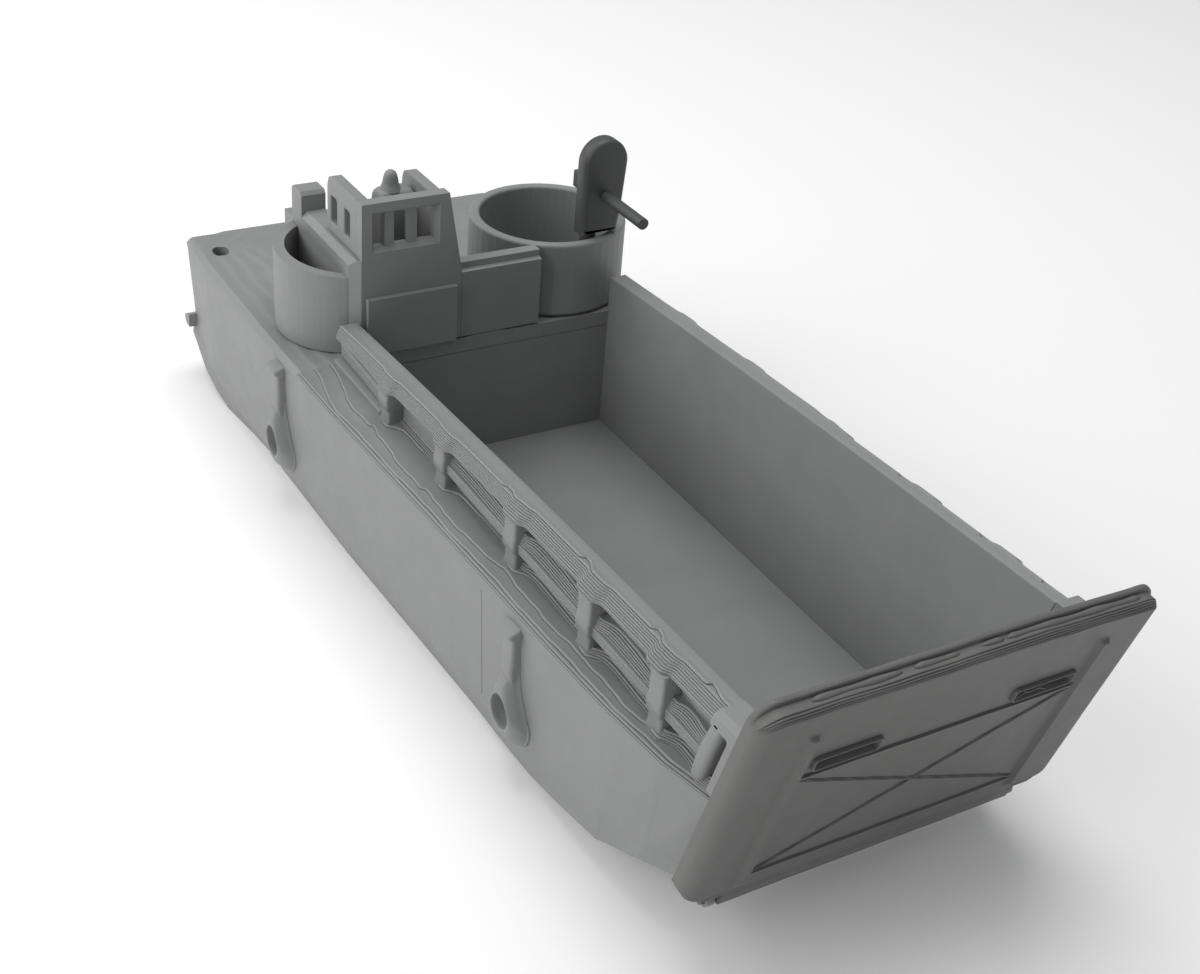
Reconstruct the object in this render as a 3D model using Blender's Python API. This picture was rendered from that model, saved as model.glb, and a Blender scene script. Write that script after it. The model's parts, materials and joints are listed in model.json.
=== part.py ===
"""Small-scale printed model of a ramped military landing craft.

Frame: +X to the bow, +Y to port, +Z up. Sizes are in millimetres and turned
to metres by MM. The flat bottom stands on z = 0. "hand" is -1 to starboard
and +1 to port. The bow, the ramp and what touches it share one raked plane.
"""

import math

import bpy
import numpy as np

MM = 0.001
GAP = 0.02

# hull
TRANSOM_X = -46.6
WELL_AFT_X = -17.6
BOW_X = 40.3
RAKE_DEG = 16.5
DECK_Z = 14.0
DECK_THICK = 0.9
DECK_RISE = 0.5
DECK_FALL_AFT = 6.0
EDGE_ROUND = 0.4
EDGE_SOFT = 0.12
DECK_BENDS = (14.4, 12.9)
LEAN_START = 30.0
WELL_HALF = 12.0
FLOOR_Z = 3.2
FLOOR_THICK = 1.7

# half beam at the deck edge and height of the bottom, along the hull
BEAM_X = (-46.6, -40.0, -25.0, -11.0, 4.0, 14.2, 24.0, 30.0, 36.0, 40.0)
BEAM_Y = (17.0, 17.5, 17.6, 17.4, 16.8, 16.4, 16.1, 15.8, 15.2, 14.3)
BOTTOM_X = (-46.6, -43.0, -37.5, 12.0, 17.0, 21.0, 26.0, 30.0, 36.5, 40.0)
BOTTOM_Z = (3.9, 1.5, 0.0, 0.0, 0.5, 1.0, 1.9, 2.7, 4.7, 5.7)
BILGE_IN = 1.7
BILGE_X = (-46.6, -41.0, -30.0, 12.0, 20.0, 30.0, 40.0)
BILGE_SHARE = (0.1, 0.3, 1.0, 0.9, 0.5, 0.25, 0.1)
CHINE_UP = 3.0
CHINE_IN = 0.5
LIP_OUT = 0.6
LIP_WIDE = 0.35
LIP_LOW = 4.7
LIP_HIGH = 6.0
LIP_SOFT = 0.4
HOLE_X = -41.9
HOLE_Y = -15.3
HOLE_R = (1.1, 0.72)
HOLE_DEEP = 3.5

# coaming beside the well
WALL_T = 0.9
CAP_AFT_Z = 17.6
CAP_BOW_Z = 20.1
CAP_FLAT = 13.3
CAP_OUT = 14.0
CAP_OUT_AFT = 13.6
CAP_FALL = 1.0
CAP_LIP = 0.15
POST_X = (-7.4, 2.7, 14.0, 24.4, 33.4)
POST_W = 1.8
POST_OUT = 14.4
POST_FOOT_OUT = 14.15
RAIL_LOW = 15.65
RAIL_TOP = 16.5
STRUT_AFT = 2.8
STRUT_FORE = 1.55
FRAME_T = 0.9
FRAME_OUT = 14.2
BLOCK_UP = 0.15
BLOCK_SOFT = 0.4
LOCKER_OUT = 13.6
LOCKER_FOOT = 14.2

# gun tubs
TUB_X = -24.62
TUB_Y = 9.15
TUB_R = 7.0
TUB_WALL = 0.95
TUB_TOP = 21.3

# steering shelter
SHELTER_Y0 = -11.7
SHELTER_Y1 = -4.0
SHELTER_TOP = 27.9
SHELTER_PORT_TOP = 27.6
SHELTER_T = 1.1
SHELTER_AFT = -24.9
SHELTER_PORT_AFT = -24.7
SHELTER_CORNER = 0.9
FLARE_Y = -2.65
FLARE_LOW = 20.6
FLARE_HIGH = 26.6
FRONT_LEDGE_Y = (-11.3, -3.2)
FRONT_LEDGE_TOP = 19.65
FRONT_LEDGE_OUT = 0.45
BASE_OUT = 0.8
BASE_IN = 1.4
BASE_AFT = -32.6
BASE_TURN = -18.5
BASE_TOP = 23.0
BASE_SLOPE = 0.5
SEAT_X = (-30.8, -28.6)
SEAT_TOP = 24.7
SEAT_STEP = 21.7
SEAT_SOFT = 0.3
CONSOLE_X = (-23.4, -21.2)
CONSOLE_Y = -8.5
CONSOLE_TOP = 27.0
CONSOLE_SOFT = (1.0, 0.7)
COMPASS_X = -22.3
COMPASS_Y = -7.15
COMPASS_R = 0.67
COMPASS_TOP = 28.5
WINDOW_Y = (-10.5, -5.1)
WINDOW_Z = (23.9, 26.8)
WINDOW_SET = 0.45
WINDOW_SPLAY = 0.3
BAR_Y = (-9.1, -7.05)
BAR_W = 0.8
SLOT_X = ((-24.1, -22.8), (-21.3, -20.1))
SLOT_Z = (23.9, 26.2)

# transverse bulkhead beside the port tub
BULK_T = 1.5
BULK_TOP = 21.3
BULK_STEP = 20.6
BULK_LEDGE = 0.45
BULK_PORT_END = 4.9

# ramp, measured up its own slope from its lower edge
RAMP_FOOT_X = 39.35
RAMP_FOOT_Z = 3.55
RAMP_H = 21.2
RAMP_HALF = 15.1
RAMP_T = 1.6
RAMP_ROUND = 1.4
# depth behind the front and inset of the outline, from the back face forward
RAMP_EDGE = ((1.6, 0.2), (1.4, 0.0), (0.75, 0.0), (0.4, 0.1), (0.12, 0.35), (0.0, 0.75))
RAMP_CUT_UP = 2.6
RAMP_CUT_IN = 0.35
NOTCH_Y = (11.85, 13.15)
NOTCH_UP = 1.15
RIB_Y = 11.0
RIB_W = 0.9
RIB_PROUD = 0.45
RIB_LOW = 2.4
RIB_HIGH = 18.2
CROSS_LOW = 3.2
CROSS_HIGH = 13.8
CROSS_W = 0.6
SLOT_CENTRE = 7.55
SLOT_HALF = 2.45
SLOT_LOW = 14.55
SLOT_HIGH = 15.7
SLOT_FRAME = 0.42
BRACE_W = 0.28
PIN_R = 0.36
PIN_UP = 0.15
PIN_HALF = 12.9
LUG_Y = (12.0, 12.6)
LUG_R = 0.62
LUG_TOP = 5.9
LUG_BACK = (1.9, 0.35)

# gun
GUN_X = -21.2
GUN_Y = 11.4
PINTLE_R = 0.7
RECEIVER_X = (-23.4, -20.2)
RECEIVER_HALF = 0.6
RECEIVER_Z = (24.2, 25.7)
SHIELD_HALF = 2.1
SHIELD_LOW = 21.5
SHIELD_HIGH = 30.0
SHIELD_WAIST = 23.7
SHIELD_FOOT = (0.7, 0.85)
SHIELD_T = 1.6
BARREL_Z = 25.0
BARREL_R = 0.5
BARREL_LONG = 6.3

# fenders hung on the side
FENDER_X = {"aft": -21.1, "bow": 19.1}
RING_Z = 5.1
RING_R = 2.15
RING_T = 1.25
RING_APEX = 9.8
RING_HOLE = (1.1, 1.3)
RING_HOLE_UP = 0.85
RING_LIFT = 0.06
STRAP_W = 1.5
STRAP_TOP = 13.0
STRAP_OUT = (0.75, 0.6)
KNOB_W = 2.1
KNOB_OUT = 0.95
KNOB_EDGE = 0.4

SEGMENTS = 48
GREY = 0.3
DARK_GREY = 0.24


def clear_scene():
    """Empty the file of the objects it starts with."""
    for item in list(bpy.data.objects):
        bpy.data.objects.remove(item, do_unlink=True)
    for item in list(bpy.data.meshes):
        bpy.data.meshes.remove(item)


def plastic(name, shade):
    """One grey print plastic."""
    material = bpy.data.materials.new(name)
    material.use_nodes = True
    shader = material.node_tree.nodes["Principled BSDF"]
    shader.inputs["Base Color"].default_value = (shade, shade, shade * 1.02, 1.0)
    shader.inputs["Roughness"].default_value = 0.6
    shader.inputs["Metallic"].default_value = 0.0
    material.diffuse_color = (shade, shade, shade * 1.02, 1.0)
    return material


def mesh_object(name, points, faces, shade=GREY):
    """Make one object from points in millimetres."""
    mesh = bpy.data.meshes.new(name)
    mesh.from_pydata([tuple(c * MM for c in p) for p in points], [], faces)
    mesh.validate()
    mesh.update()
    item = bpy.data.objects.new(name, mesh)
    item.data.materials.append(plastic("mat_" + name, shade))
    bpy.context.collection.objects.link(item)
    return item


def turn_outward(item):
    """Flip a closed mesh that came out inside out."""
    mesh = item.data
    volume = 0.0
    for polygon in mesh.polygons:
        corners = [mesh.vertices[i].co for i in polygon.vertices]
        for k in range(1, len(corners) - 1):
            volume += corners[0].dot(corners[k].cross(corners[k + 1]))
    if volume < 0.0:
        mesh.flip_normals()
    return item


def shade_round(item, angle_deg=35.0):
    """Shade a round piece smooth but keep its corners."""
    item.data.shade_smooth()
    item.data.set_sharp_from_angle(angle=math.radians(angle_deg))
    return item


def band(rings, closed):
    """Quads between neighbouring rings of equal length."""
    count = len(rings[0])
    total = len(rings)
    faces = []
    for r in range(total if closed else total - 1):
        for i in range(count):
            j = (i + 1) % count
            a = r * count
            b = ((r + 1) % total) * count
            faces.append((a + i, a + j, b + j, b + i))
    return faces


def loft(name, rings, shade=GREY):
    """Skin a row of rings that hold the same number of points."""
    count = len(rings[0])
    points = [p for ring in rings for p in ring]
    faces = band(rings, closed=False)
    last = (len(rings) - 1) * count
    faces.append(tuple(reversed(range(count))))
    faces.append(tuple(last + i for i in range(count)))
    return turn_outward(mesh_object(name, points, faces, shade))


def hoop(name, rings, shade=GREY):
    """Skin rings that run round and meet their start."""
    points = [p for ring in rings for p in ring]
    return turn_outward(mesh_object(name, points, band(rings, closed=True), shade))


def prism_x(name, outline, x0, x1, shade=GREY):
    """Extrude an outline of (y, z) points along X."""
    return loft(name, [[(x, y, z) for y, z in outline] for x in (x0, x1)], shade)


def prism_y(name, outline, y0, y1, shade=GREY):
    """Extrude an outline of (x, z) points along Y."""
    return loft(name, [[(x, y, z) for x, z in outline] for y in (y0, y1)], shade)


def box(name, low, high, shade=GREY):
    """Make a plain box between two corners."""
    outline = [(low[1], low[2]), (high[1], low[2]), (high[1], high[2]), (low[1], high[2])]
    return prism_x(name, outline, low[0], high[0], shade)


def circle(centre, radius, segments):
    """Points round a circle, or round an ellipse if the radius is a pair."""
    ru, rv = radius if isinstance(radius, tuple) else (radius, radius)
    turns = [2.0 * math.pi * k / segments for k in range(segments)]
    return [(centre[0] + ru * math.cos(a), centre[1] + rv * math.sin(a)) for a in turns]


def bar_x(name, centre, radius, x0, x1, segments=20, shade=GREY):
    """Round bar along X."""
    return shade_round(prism_x(name, circle(centre, radius, segments), x0, x1, shade))


def bar_y(name, centre, radius, y0, y1, segments=24, shade=GREY):
    """Round bar along Y."""
    return shade_round(prism_y(name, circle(centre, radius, segments), y0, y1, shade))


def bar_z(name, centre, radius, z0, z1, segments=24, shade=GREY):
    """Round bar along Z."""
    ring = circle(centre, radius, segments)
    return shade_round(loft(name, [[(x, y, z) for x, y in ring] for z in (z0, z1)], shade))


def combine(target, other, operation):
    """Cut another solid from a target, or join it to the target."""
    modifier = target.modifiers.new(operation.lower() + "_" + other.name, "BOOLEAN")
    modifier.operation = operation
    modifier.solver = "EXACT"
    modifier.object = other
    other.hide_render = True
    other.display_type = "WIRE"
    return target


def cut(target, other):
    """Take another solid away from a target."""
    return combine(target, other, "DIFFERENCE")


def join(target, other):
    """Join another solid to a target."""
    return combine(target, other, "UNION")


def beam_at(x):
    """Half beam of the deck edge."""
    return float(np.interp(x, BEAM_X, BEAM_Y))


def bottom_at(x):
    """Height of the flat bottom."""
    return float(np.interp(x, BOTTOM_X, BOTTOM_Z))


def floor_at(x):
    """Height of the well floor."""
    return max(FLOOR_Z, bottom_at(x) + FLOOR_THICK)


def chine_at(x):
    """Height of the chine, dying out toward the bow."""
    share = float(np.interp(x, (TRANSOM_X, -20.0, 10.0, BOW_X), (0.7, 1.0, 1.1, 0.25)))
    return bottom_at(x) + CHINE_UP * share


def side_at(x, z):
    """Half beam of the hull side at a height."""
    beam = beam_at(x)
    low = bottom_at(x)
    chine = chine_at(x)
    inner = beam - BILGE_IN * float(np.interp(x, BILGE_X, BILGE_SHARE))
    if z <= chine:
        return inner + (beam - CHINE_IN - inner) * (z - low) / (chine - low)
    return beam - CHINE_IN + CHINE_IN * (z - chine) / (DECK_Z - chine)


def side_deck_height(x, y):
    """Top of the side deck, falling from the coaming to its edge."""
    edge = beam_at(x)
    return DECK_Z + DECK_RISE * min(1.0, (edge - abs(y)) / (edge - WELL_HALF))


def aft_deck_height(x, y):
    """Top of the after deck, which also falls toward the transom."""
    share = min(1.0, (x - TRANSOM_X) / DECK_FALL_AFT)
    return DECK_Z + (side_deck_height(x, y) - DECK_Z) * share


def rake_shift(z):
    """How far the raked bow plane has moved forward at a height."""
    return (z - DECK_Z) * math.tan(math.radians(RAKE_DEG))


def bow_plane(z, back=0.0):
    """X of the bow plane at a height, or of a plane some way behind it."""
    return BOW_X + rake_shift(z) - back


def bow_x(x, z, back=0.0):
    """Lean the last stations into the raked bow plane, or a plane behind it."""
    share = max(0.0, (x - LEAN_START) / (BOW_X - LEAN_START))
    return x + (rake_shift(z) - back) * share


def stations(start, end):
    """Spread stations between two ends, with the bends of the hull lines."""
    marks = set(np.linspace(start, end, int(abs(end - start) / 4.0) + 2).round(4))
    bends = [x for x in BOTTOM_X + BEAM_X if start + 0.6 < x < end - 0.6]
    kept = [start]
    for x in sorted(marks | set(bends)):
        if x - kept[-1] < 0.8 and x not in bends:
            continue
        if kept[-1] not in bends and x - kept[-1] < 0.8 and len(kept) > 1:
            kept.pop()
        if x > kept[-1] + 0.05:
            kept.append(x)
    if end - kept[-1] < 0.8 and len(kept) > 1 and kept[-1] != end:
        kept.pop()
    if kept[-1] != end:
        kept.append(end)
    return kept


def build_bottom():
    """Bottom slab and floor of the load well."""
    rings = []
    half = WELL_HALF - GAP
    for x in stations(WELL_AFT_X + GAP, BOW_X):
        pairs = ((-half, bottom_at(x)), (half, bottom_at(x)), (half, floor_at(x)), (-half, floor_at(x)))
        rings.append([(bow_x(x, z), y, z) for y, z in pairs])
    return loft("hull_bottom", rings)


def build_side(name, hand):
    """One hull side, from the bottom to the deck, with its flat inner wall."""
    rings = []
    for x in stations(WELL_AFT_X + GAP, BOW_X):
        low = bottom_at(x)
        top = DECK_Z - DECK_THICK - GAP
        outer = [(bow_x(x, z), hand * side_at(x, z), z) for z in (low, chine_at(x), top)]
        inner = [(bow_x(x, z), hand * WELL_HALF, z) for z in (top, low)]
        rings.append(outer + inner)
    side = loft(name, rings)
    lug, bore = hinge_lug(name, hand)
    join(side, lug)
    return cut(side, bore)


def hinge_lug(name, hand):
    """Lug under the bow that carries one end of the hinge pin, and its bore."""
    cx, cz = pin_centre()
    aft, fore = LUG_BACK
    outline = [(bow_plane(LUG_TOP, aft), LUG_TOP - 0.4), (bow_plane(LUG_TOP, fore), LUG_TOP)]
    for k in range(13):
        a = math.radians(120.0 - 270.0 * k / 12.0)
        outline.append((cx + LUG_R * math.cos(a), cz + LUG_R * math.sin(a)))
    lug = prism_y("join_lug_" + name, outline, hand * LUG_Y[0], hand * LUG_Y[1])
    ends = (hand * (LUG_Y[0] - 1.0), hand * (LUG_Y[1] + 1.0))
    bore = bar_y("cut_lug_" + name, (cx, cz), PIN_R + 2.0 * GAP, min(ends), max(ends))
    return lug, bore


def build_stern():
    """Closed after body, with a deep hole under the deck fitting."""
    rings = []
    for x in stations(TRANSOM_X, WELL_AFT_X):
        heights = (bottom_at(x), chine_at(x), DECK_Z - DECK_THICK - GAP)
        ring = [(x, side_at(x, z), z) for z in heights]
        ring += [(x, -side_at(x, z), z) for z in reversed(heights)]
        rings.append(ring)
    stern = loft("hull_stern", rings)
    join(stern, transom_step())
    return cut(stern, deck_hole("cut_hole_stern"))


def deck_hole(name):
    """Cutter for the oval hole in the after deck."""
    oval = circle((HOLE_X, HOLE_Y), HOLE_R, 20)
    return loft(name, [[(x, y, z) for x, y in oval] for z in (DECK_Z - HOLE_DEEP, DECK_Z + 2.0)])


def transom_step():
    """Step across the transom where the bottom turns up."""
    x0 = TRANSOM_X - LIP_OUT
    x1 = TRANSOM_X + LIP_OUT
    half = beam_at(TRANSOM_X) + LIP_WIDE
    outline = [(x0 + LIP_SOFT, LIP_LOW), (x1, LIP_LOW), (x1, LIP_HIGH), (x0, LIP_HIGH - LIP_SOFT)]
    outline.append((x0, LIP_LOW + LIP_SOFT))
    return prism_y("join_step", outline, -half, half)


def deck_section(x, y_in, hand, height):
    """Half cross-section of a deck with a rounded edge, from the low edge up."""
    edge = beam_at(x)
    low = DECK_Z - DECK_THICK
    inset = edge - EDGE_ROUND
    ring = [(hand * y_in, low), (hand * edge, low), (hand * edge, DECK_Z - EDGE_ROUND)]
    ring.append((hand * (edge - EDGE_SOFT), DECK_Z - EDGE_SOFT))
    ring.append((hand * inset, height(x, inset)))
    for y in DECK_BENDS:
        ring.append((hand * min(y, inset - 0.05), height(x, min(y, inset - 0.05))))
    ring.append((hand * y_in, height(x, y_in)))
    return ring


def build_side_deck(name, hand):
    """Side deck between the load well and the hull edge."""
    rings = []
    for x in stations(WELL_AFT_X + GAP, BOW_X):
        section = deck_section(x, WELL_HALF, hand, side_deck_height)
        rings.append([(bow_x(x, z), y, z) for y, z in section])
    return loft(name, rings)


def build_aft_deck():
    """After deck from the transom to the load well."""
    rings = []
    for x in stations(TRANSOM_X, WELL_AFT_X):
        port = deck_section(x, 0.0, 1.0, aft_deck_height)[1:]
        starboard = deck_section(x, 0.0, -1.0, aft_deck_height)[1:-1]
        rings.append([(x, y, z) for y, z in port + list(reversed(starboard))])
    deck = loft("aft_deck", rings)
    return cut(deck, deck_hole("cut_hole_deck"))


def cap_top(x):
    """Height of the coaming top, rising toward the bow."""
    u = (x - WELL_AFT_X) / (BOW_X - WELL_AFT_X)
    return CAP_AFT_Z + (CAP_BOW_Z - CAP_AFT_Z) * (1.45 * u - 0.45 * u * u)


def cap_low(x):
    """Height of the cap's underside."""
    return cap_top(x) - CAP_FALL - CAP_LIP


def cap_edge(x):
    """Outer edge of the cap, a little narrower at its after end."""
    return float(np.interp(x, (WELL_AFT_X, POST_X[0]), (CAP_OUT_AFT, CAP_OUT)))


def coaming_stations():
    """Stations from the shelter to the block at the bow."""
    return stations(WELL_AFT_X + GAP, BOW_X)


def coaming_x(x, z):
    """Lean coaming stations so that they end behind the bow block."""
    return bow_x(x, z, STRUT_AFT + GAP)


def build_coaming(name, hand):
    """Plain wall between the well and the side deck."""
    rings = []
    for x in coaming_stations():
        y0 = WELL_HALF
        y1 = WELL_HALF + WALL_T
        low0 = side_deck_height(x, y0) + GAP
        low1 = side_deck_height(x, y1) + GAP
        top = cap_low(x) - GAP
        pairs = ((y0, low0), (y1, low1), (y1, top), (y0, top))
        rings.append([(coaming_x(x, z), hand * y, z) for y, z in pairs])
    return loft(name, rings)


def build_cap(name, hand):
    """Cap of the coaming: a flat top and a strip that slopes outward."""
    rings = []
    for x in coaming_stations():
        top = cap_top(x)
        edge = cap_edge(x)
        flat = CAP_FLAT - (CAP_OUT - edge)
        pairs = ((WELL_HALF, cap_low(x)), (edge, cap_low(x)), (edge, cap_low(x) + CAP_LIP))
        pairs += ((flat, top), (WELL_HALF, top))
        rings.append([(coaming_x(x, z), hand * y, z) for y, z in pairs])
    return loft(name, rings)


def post_section(x):
    """Side outline of a post: foot, step at the rail, head outside the cap."""
    inner = WELL_HALF + WALL_T + GAP
    out = cap_edge(x) + 2.0 * GAP
    head = cap_low(x)
    step = RAIL_LOW - 0.1
    foot = side_deck_height(x, POST_FOOT_OUT) + 2.0 * GAP
    section = [(inner, side_deck_height(x, inner) + 2.0 * GAP), (POST_FOOT_OUT, foot)]
    section += [(POST_FOOT_OUT, step), (POST_OUT, step + 0.15), (POST_OUT, head + 0.05)]
    section += [(out, head + 0.45), (out, head - GAP), (inner, head - GAP)]
    return section


def build_post(side, hand, number, x):
    """One post of the coaming."""
    rings = []
    for px in (x - POST_W / 2.0, x + POST_W / 2.0):
        rings.append([(px, hand * y, z) for y, z in post_section(px)])
    return loft("post_%s_%d" % (side, number), rings)


def build_rail(side, hand, number, x0, x1, raked):
    """Middle rail of one bay, wedge-topped, from one post to the next."""
    inner = WELL_HALF + WALL_T + GAP
    pairs = ((inner, RAIL_LOW), (CAP_OUT, RAIL_LOW), (CAP_OUT, RAIL_TOP - 0.08), (inner, RAIL_TOP))
    rings = [[(x0, hand * y, z) for y, z in pairs]]
    if raked:
        rings.append([(bow_plane(z, STRUT_AFT + GAP), hand * y, z) for y, z in pairs])
    else:
        rings.append([(x1, hand * y, z) for y, z in pairs])
    return loft("rail_%s_%d" % (side, number), rings)


def build_rails(side, hand):
    """Middle rails from the second post on, the last one up to the raked strut."""
    half = POST_W / 2.0 + GAP
    for number in range(2, len(POST_X)):
        build_rail(side, hand, number, POST_X[number - 1] + half, POST_X[number] - half, False)
    build_rail(side, hand, len(POST_X), POST_X[-1] + half, 0.0, True)


def build_strut(name, hand):
    """Raked strut just behind the bow frame."""
    inner = WELL_HALF + WALL_T + GAP
    pairs = []
    for back in (STRUT_AFT, STRUT_FORE):
        x = BOW_X - back
        low = side_deck_height(x, FRAME_OUT) + 2.0 * GAP
        low_in = side_deck_height(x, inner) + 2.0 * GAP
        top = cap_low(BOW_X) - GAP
        corners = ((inner, low_in), (FRAME_OUT, low), (FRAME_OUT, top), (inner, top))
        pairs.append([(bow_plane(z, back), hand * y, z) for y, z in corners])
    return loft(name, pairs)


def build_bow_frame(name, hand):
    """Thin raked frame at the bow with the block that ends the cap."""
    low_in = side_deck_height(BOW_X, WELL_HALF) + 2.0 * GAP
    low_out = side_deck_height(BOW_X, FRAME_OUT) + 2.0 * GAP
    top = cap_top(BOW_X) + BLOCK_UP
    soft = BLOCK_SOFT
    crown = ((FRAME_OUT, top - soft), (FRAME_OUT - soft, top), (WELL_HALF, top))
    pairs = ((WELL_HALF, low_in), (FRAME_OUT, low_out)) + crown
    rings = [[(bow_plane(z, back), hand * y, z) for y, z in pairs] for back in (FRAME_T, 0.0)]
    frame = loft(name, rings)
    head = ((WELL_HALF, cap_low(BOW_X)), (FRAME_OUT, cap_low(BOW_X))) + crown
    rings = [[(bow_plane(z, back), hand * y, z) for y, z in head] for back in (STRUT_AFT, 0.0)]
    outer = WELL_HALF + WALL_T
    wall = ((WELL_HALF, low_in), (outer, low_in), (outer, top - soft), (WELL_HALF, top - soft))
    wall_rings = [[(bow_plane(z, back), hand * y, z) for y, z in wall] for back in (STRUT_AFT, 0.0)]
    join(frame, loft("join_head_" + name, rings))
    return join(frame, loft("join_wall_" + name, wall_rings))


def build_locker(name, hand):
    """Closed box that fills the first bay, with a low sill at its foot."""
    x0 = WELL_AFT_X + GAP
    x1 = POST_X[0] - POST_W / 2.0 - GAP
    inner = WELL_HALF + WALL_T + GAP
    rings = []
    for x in (x0, x1):
        edge = min(cap_edge(x), LOCKER_OUT + 0.25) - 2.0 * GAP
        foot = side_deck_height(x, LOCKER_FOOT) + 2.0 * GAP
        section = [(inner, side_deck_height(x, inner) + 2.0 * GAP), (LOCKER_FOOT, foot)]
        section += [(LOCKER_FOOT, foot + 0.3), (edge, foot + 0.42)]
        section += [(edge, cap_low(x) - GAP), (inner, cap_low(x) - GAP)]
        rings.append([(x, hand * y, z) for y, z in section])
    return loft(name, rings)


def tub_ring(centre, a):
    """Cross-section of the tub wall at one angle, standing on the deck."""
    ring = []
    for r, top in ((TUB_R - TUB_WALL, False), (TUB_R, False), (TUB_R, True), (TUB_R - TUB_WALL, True)):
        x = centre[0] + r * math.cos(a)
        y = centre[1] + r * math.sin(a)
        z = TUB_TOP if top else aft_deck_height(x, y) + 3.0 * GAP
        ring.append((x, y, z))
    return ring


def build_tubs():
    """Whole tub to port, and the arc left by the shelter to starboard."""
    turns = [2.0 * math.pi * k / SEGMENTS for k in range(SEGMENTS)]
    port = hoop("tub_port", [tub_ring((TUB_X, TUB_Y), a) for a in turns])
    shade_round(port)
    wall_y = SHELTER_Y0 - BASE_OUT - GAP
    reach = math.asin((TUB_Y + SHELTER_Y0 + GAP) / TUB_R)
    start = math.pi - reach
    end = 2.0 * math.pi + reach
    steps = 30
    turns = [start + (end - start) * k / steps for k in range(steps + 1)]
    starboard = loft("tub_starboard", [tub_ring((TUB_X, -TUB_Y), a) for a in turns])
    low = DECK_Z - 1.0
    high = TUB_TOP + 1.0
    cut(starboard, box("cut_tub_base", (TRANSOM_X, wall_y, low), (0.0, 0.0, high)))
    shade_round(starboard)
    return port, starboard


def shelter_low():
    """Foot of the shelter on the flat part of the after deck."""
    return DECK_Z + DECK_RISE + 2.0 * GAP


def build_shelter_front():
    """Front wall with its barred window, its sloping port edge and a ledge at its foot."""
    low = shelter_low()
    outline = [(SHELTER_Y0, low), (FLARE_Y, low), (FLARE_Y, FLARE_LOW), (SHELTER_Y1, SHELTER_TOP)]
    outline.append((SHELTER_Y0, SHELTER_TOP))
    front = prism_x("shelter_front", outline, WELL_AFT_X - SHELTER_T, WELL_AFT_X)
    ledge_low = (WELL_AFT_X - SHELTER_T / 2.0, FRONT_LEDGE_Y[0], low + GAP)
    ledge_high = (WELL_AFT_X + FRONT_LEDGE_OUT, FRONT_LEDGE_Y[1], FRONT_LEDGE_TOP)
    join(front, box("join_front_ledge", ledge_low, ledge_high))
    edges = [WINDOW_Y[0]]
    for y in BAR_Y:
        edges += [y - BAR_W / 2.0, y + BAR_W / 2.0]
    edges.append(WINDOW_Y[1])
    for number in range(0, len(edges), 2):
        low_corner = (WELL_AFT_X - 3.0, edges[number], WINDOW_Z[0])
        high_corner = (WELL_AFT_X + 1.0, edges[number + 1], WINDOW_Z[1])
        cut(front, box("cut_pane_%d" % number, low_corner, high_corner))
    rings = [window_ring(WINDOW_SET, 0.0), window_ring(-WINDOW_SET, 2.0 * WINDOW_SPLAY)]
    return cut(front, loft("cut_window", rings))


def window_ring(depth, grow):
    """Outline of the whole window at a depth behind the front face, grown on every side."""
    x = WELL_AFT_X - depth
    y0, y1 = WINDOW_Y[0] - grow, WINDOW_Y[1] + grow
    z0, z1 = WINDOW_Z[0] - grow, WINDOW_Z[1] + grow
    return [(x, y0, z0), (x, y1, z0), (x, y1, z1), (x, y0, z1)]


def shelter_fore():
    """Fore end of the walls behind the shelter's front."""
    return WELL_AFT_X - SHELTER_T - GAP


def shelter_crown(aft, high):
    """Upper edge of a shelter wall, from its fore end to its rounded after corner."""
    corner = SHELTER_CORNER
    crown = [(shelter_fore(), high), (aft + corner, high)]
    return crown + [(aft + corner * 0.3, high - corner * 0.3), (aft, high - corner)]


def build_shelter_starboard():
    """Upper starboard wall with its two slots, standing on the base."""
    foot = BASE_TOP + GAP
    outline = [(SHELTER_AFT, foot), (shelter_fore(), foot)] + shelter_crown(SHELTER_AFT, SHELTER_TOP)
    wall = prism_y("shelter_starboard", outline, SHELTER_Y0, SHELTER_Y0 + SHELTER_T)
    for number, (x0, x1) in enumerate(SLOT_X):
        low_corner = (x0, SHELTER_Y0 - 1.0, SLOT_Z[0])
        high_corner = (x1, SHELTER_Y0 + SHELTER_T + 1.0, SLOT_Z[1])
        cut(wall, box("cut_slot_%d" % number, low_corner, high_corner))
    return wall


def build_shelter_port():
    """Port wall, full height, with the flare along its foot."""
    aft = SHELTER_PORT_AFT
    low = shelter_low()
    outline = [(aft, low), (shelter_fore(), low)] + shelter_crown(aft, SHELTER_PORT_TOP)
    wall = prism_y("shelter_port", outline, SHELTER_Y1 - SHELTER_T, SHELTER_Y1)
    inside = SHELTER_Y1 - SHELTER_T / 2.0
    foot = [(inside, low), (FLARE_Y, low), (FLARE_Y, FLARE_LOW), (SHELTER_Y1 - GAP, FLARE_HIGH)]
    foot.append((inside, FLARE_HIGH))
    return join(wall, prism_x("join_flare", foot, aft + 0.3, shelter_fore()))


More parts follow.
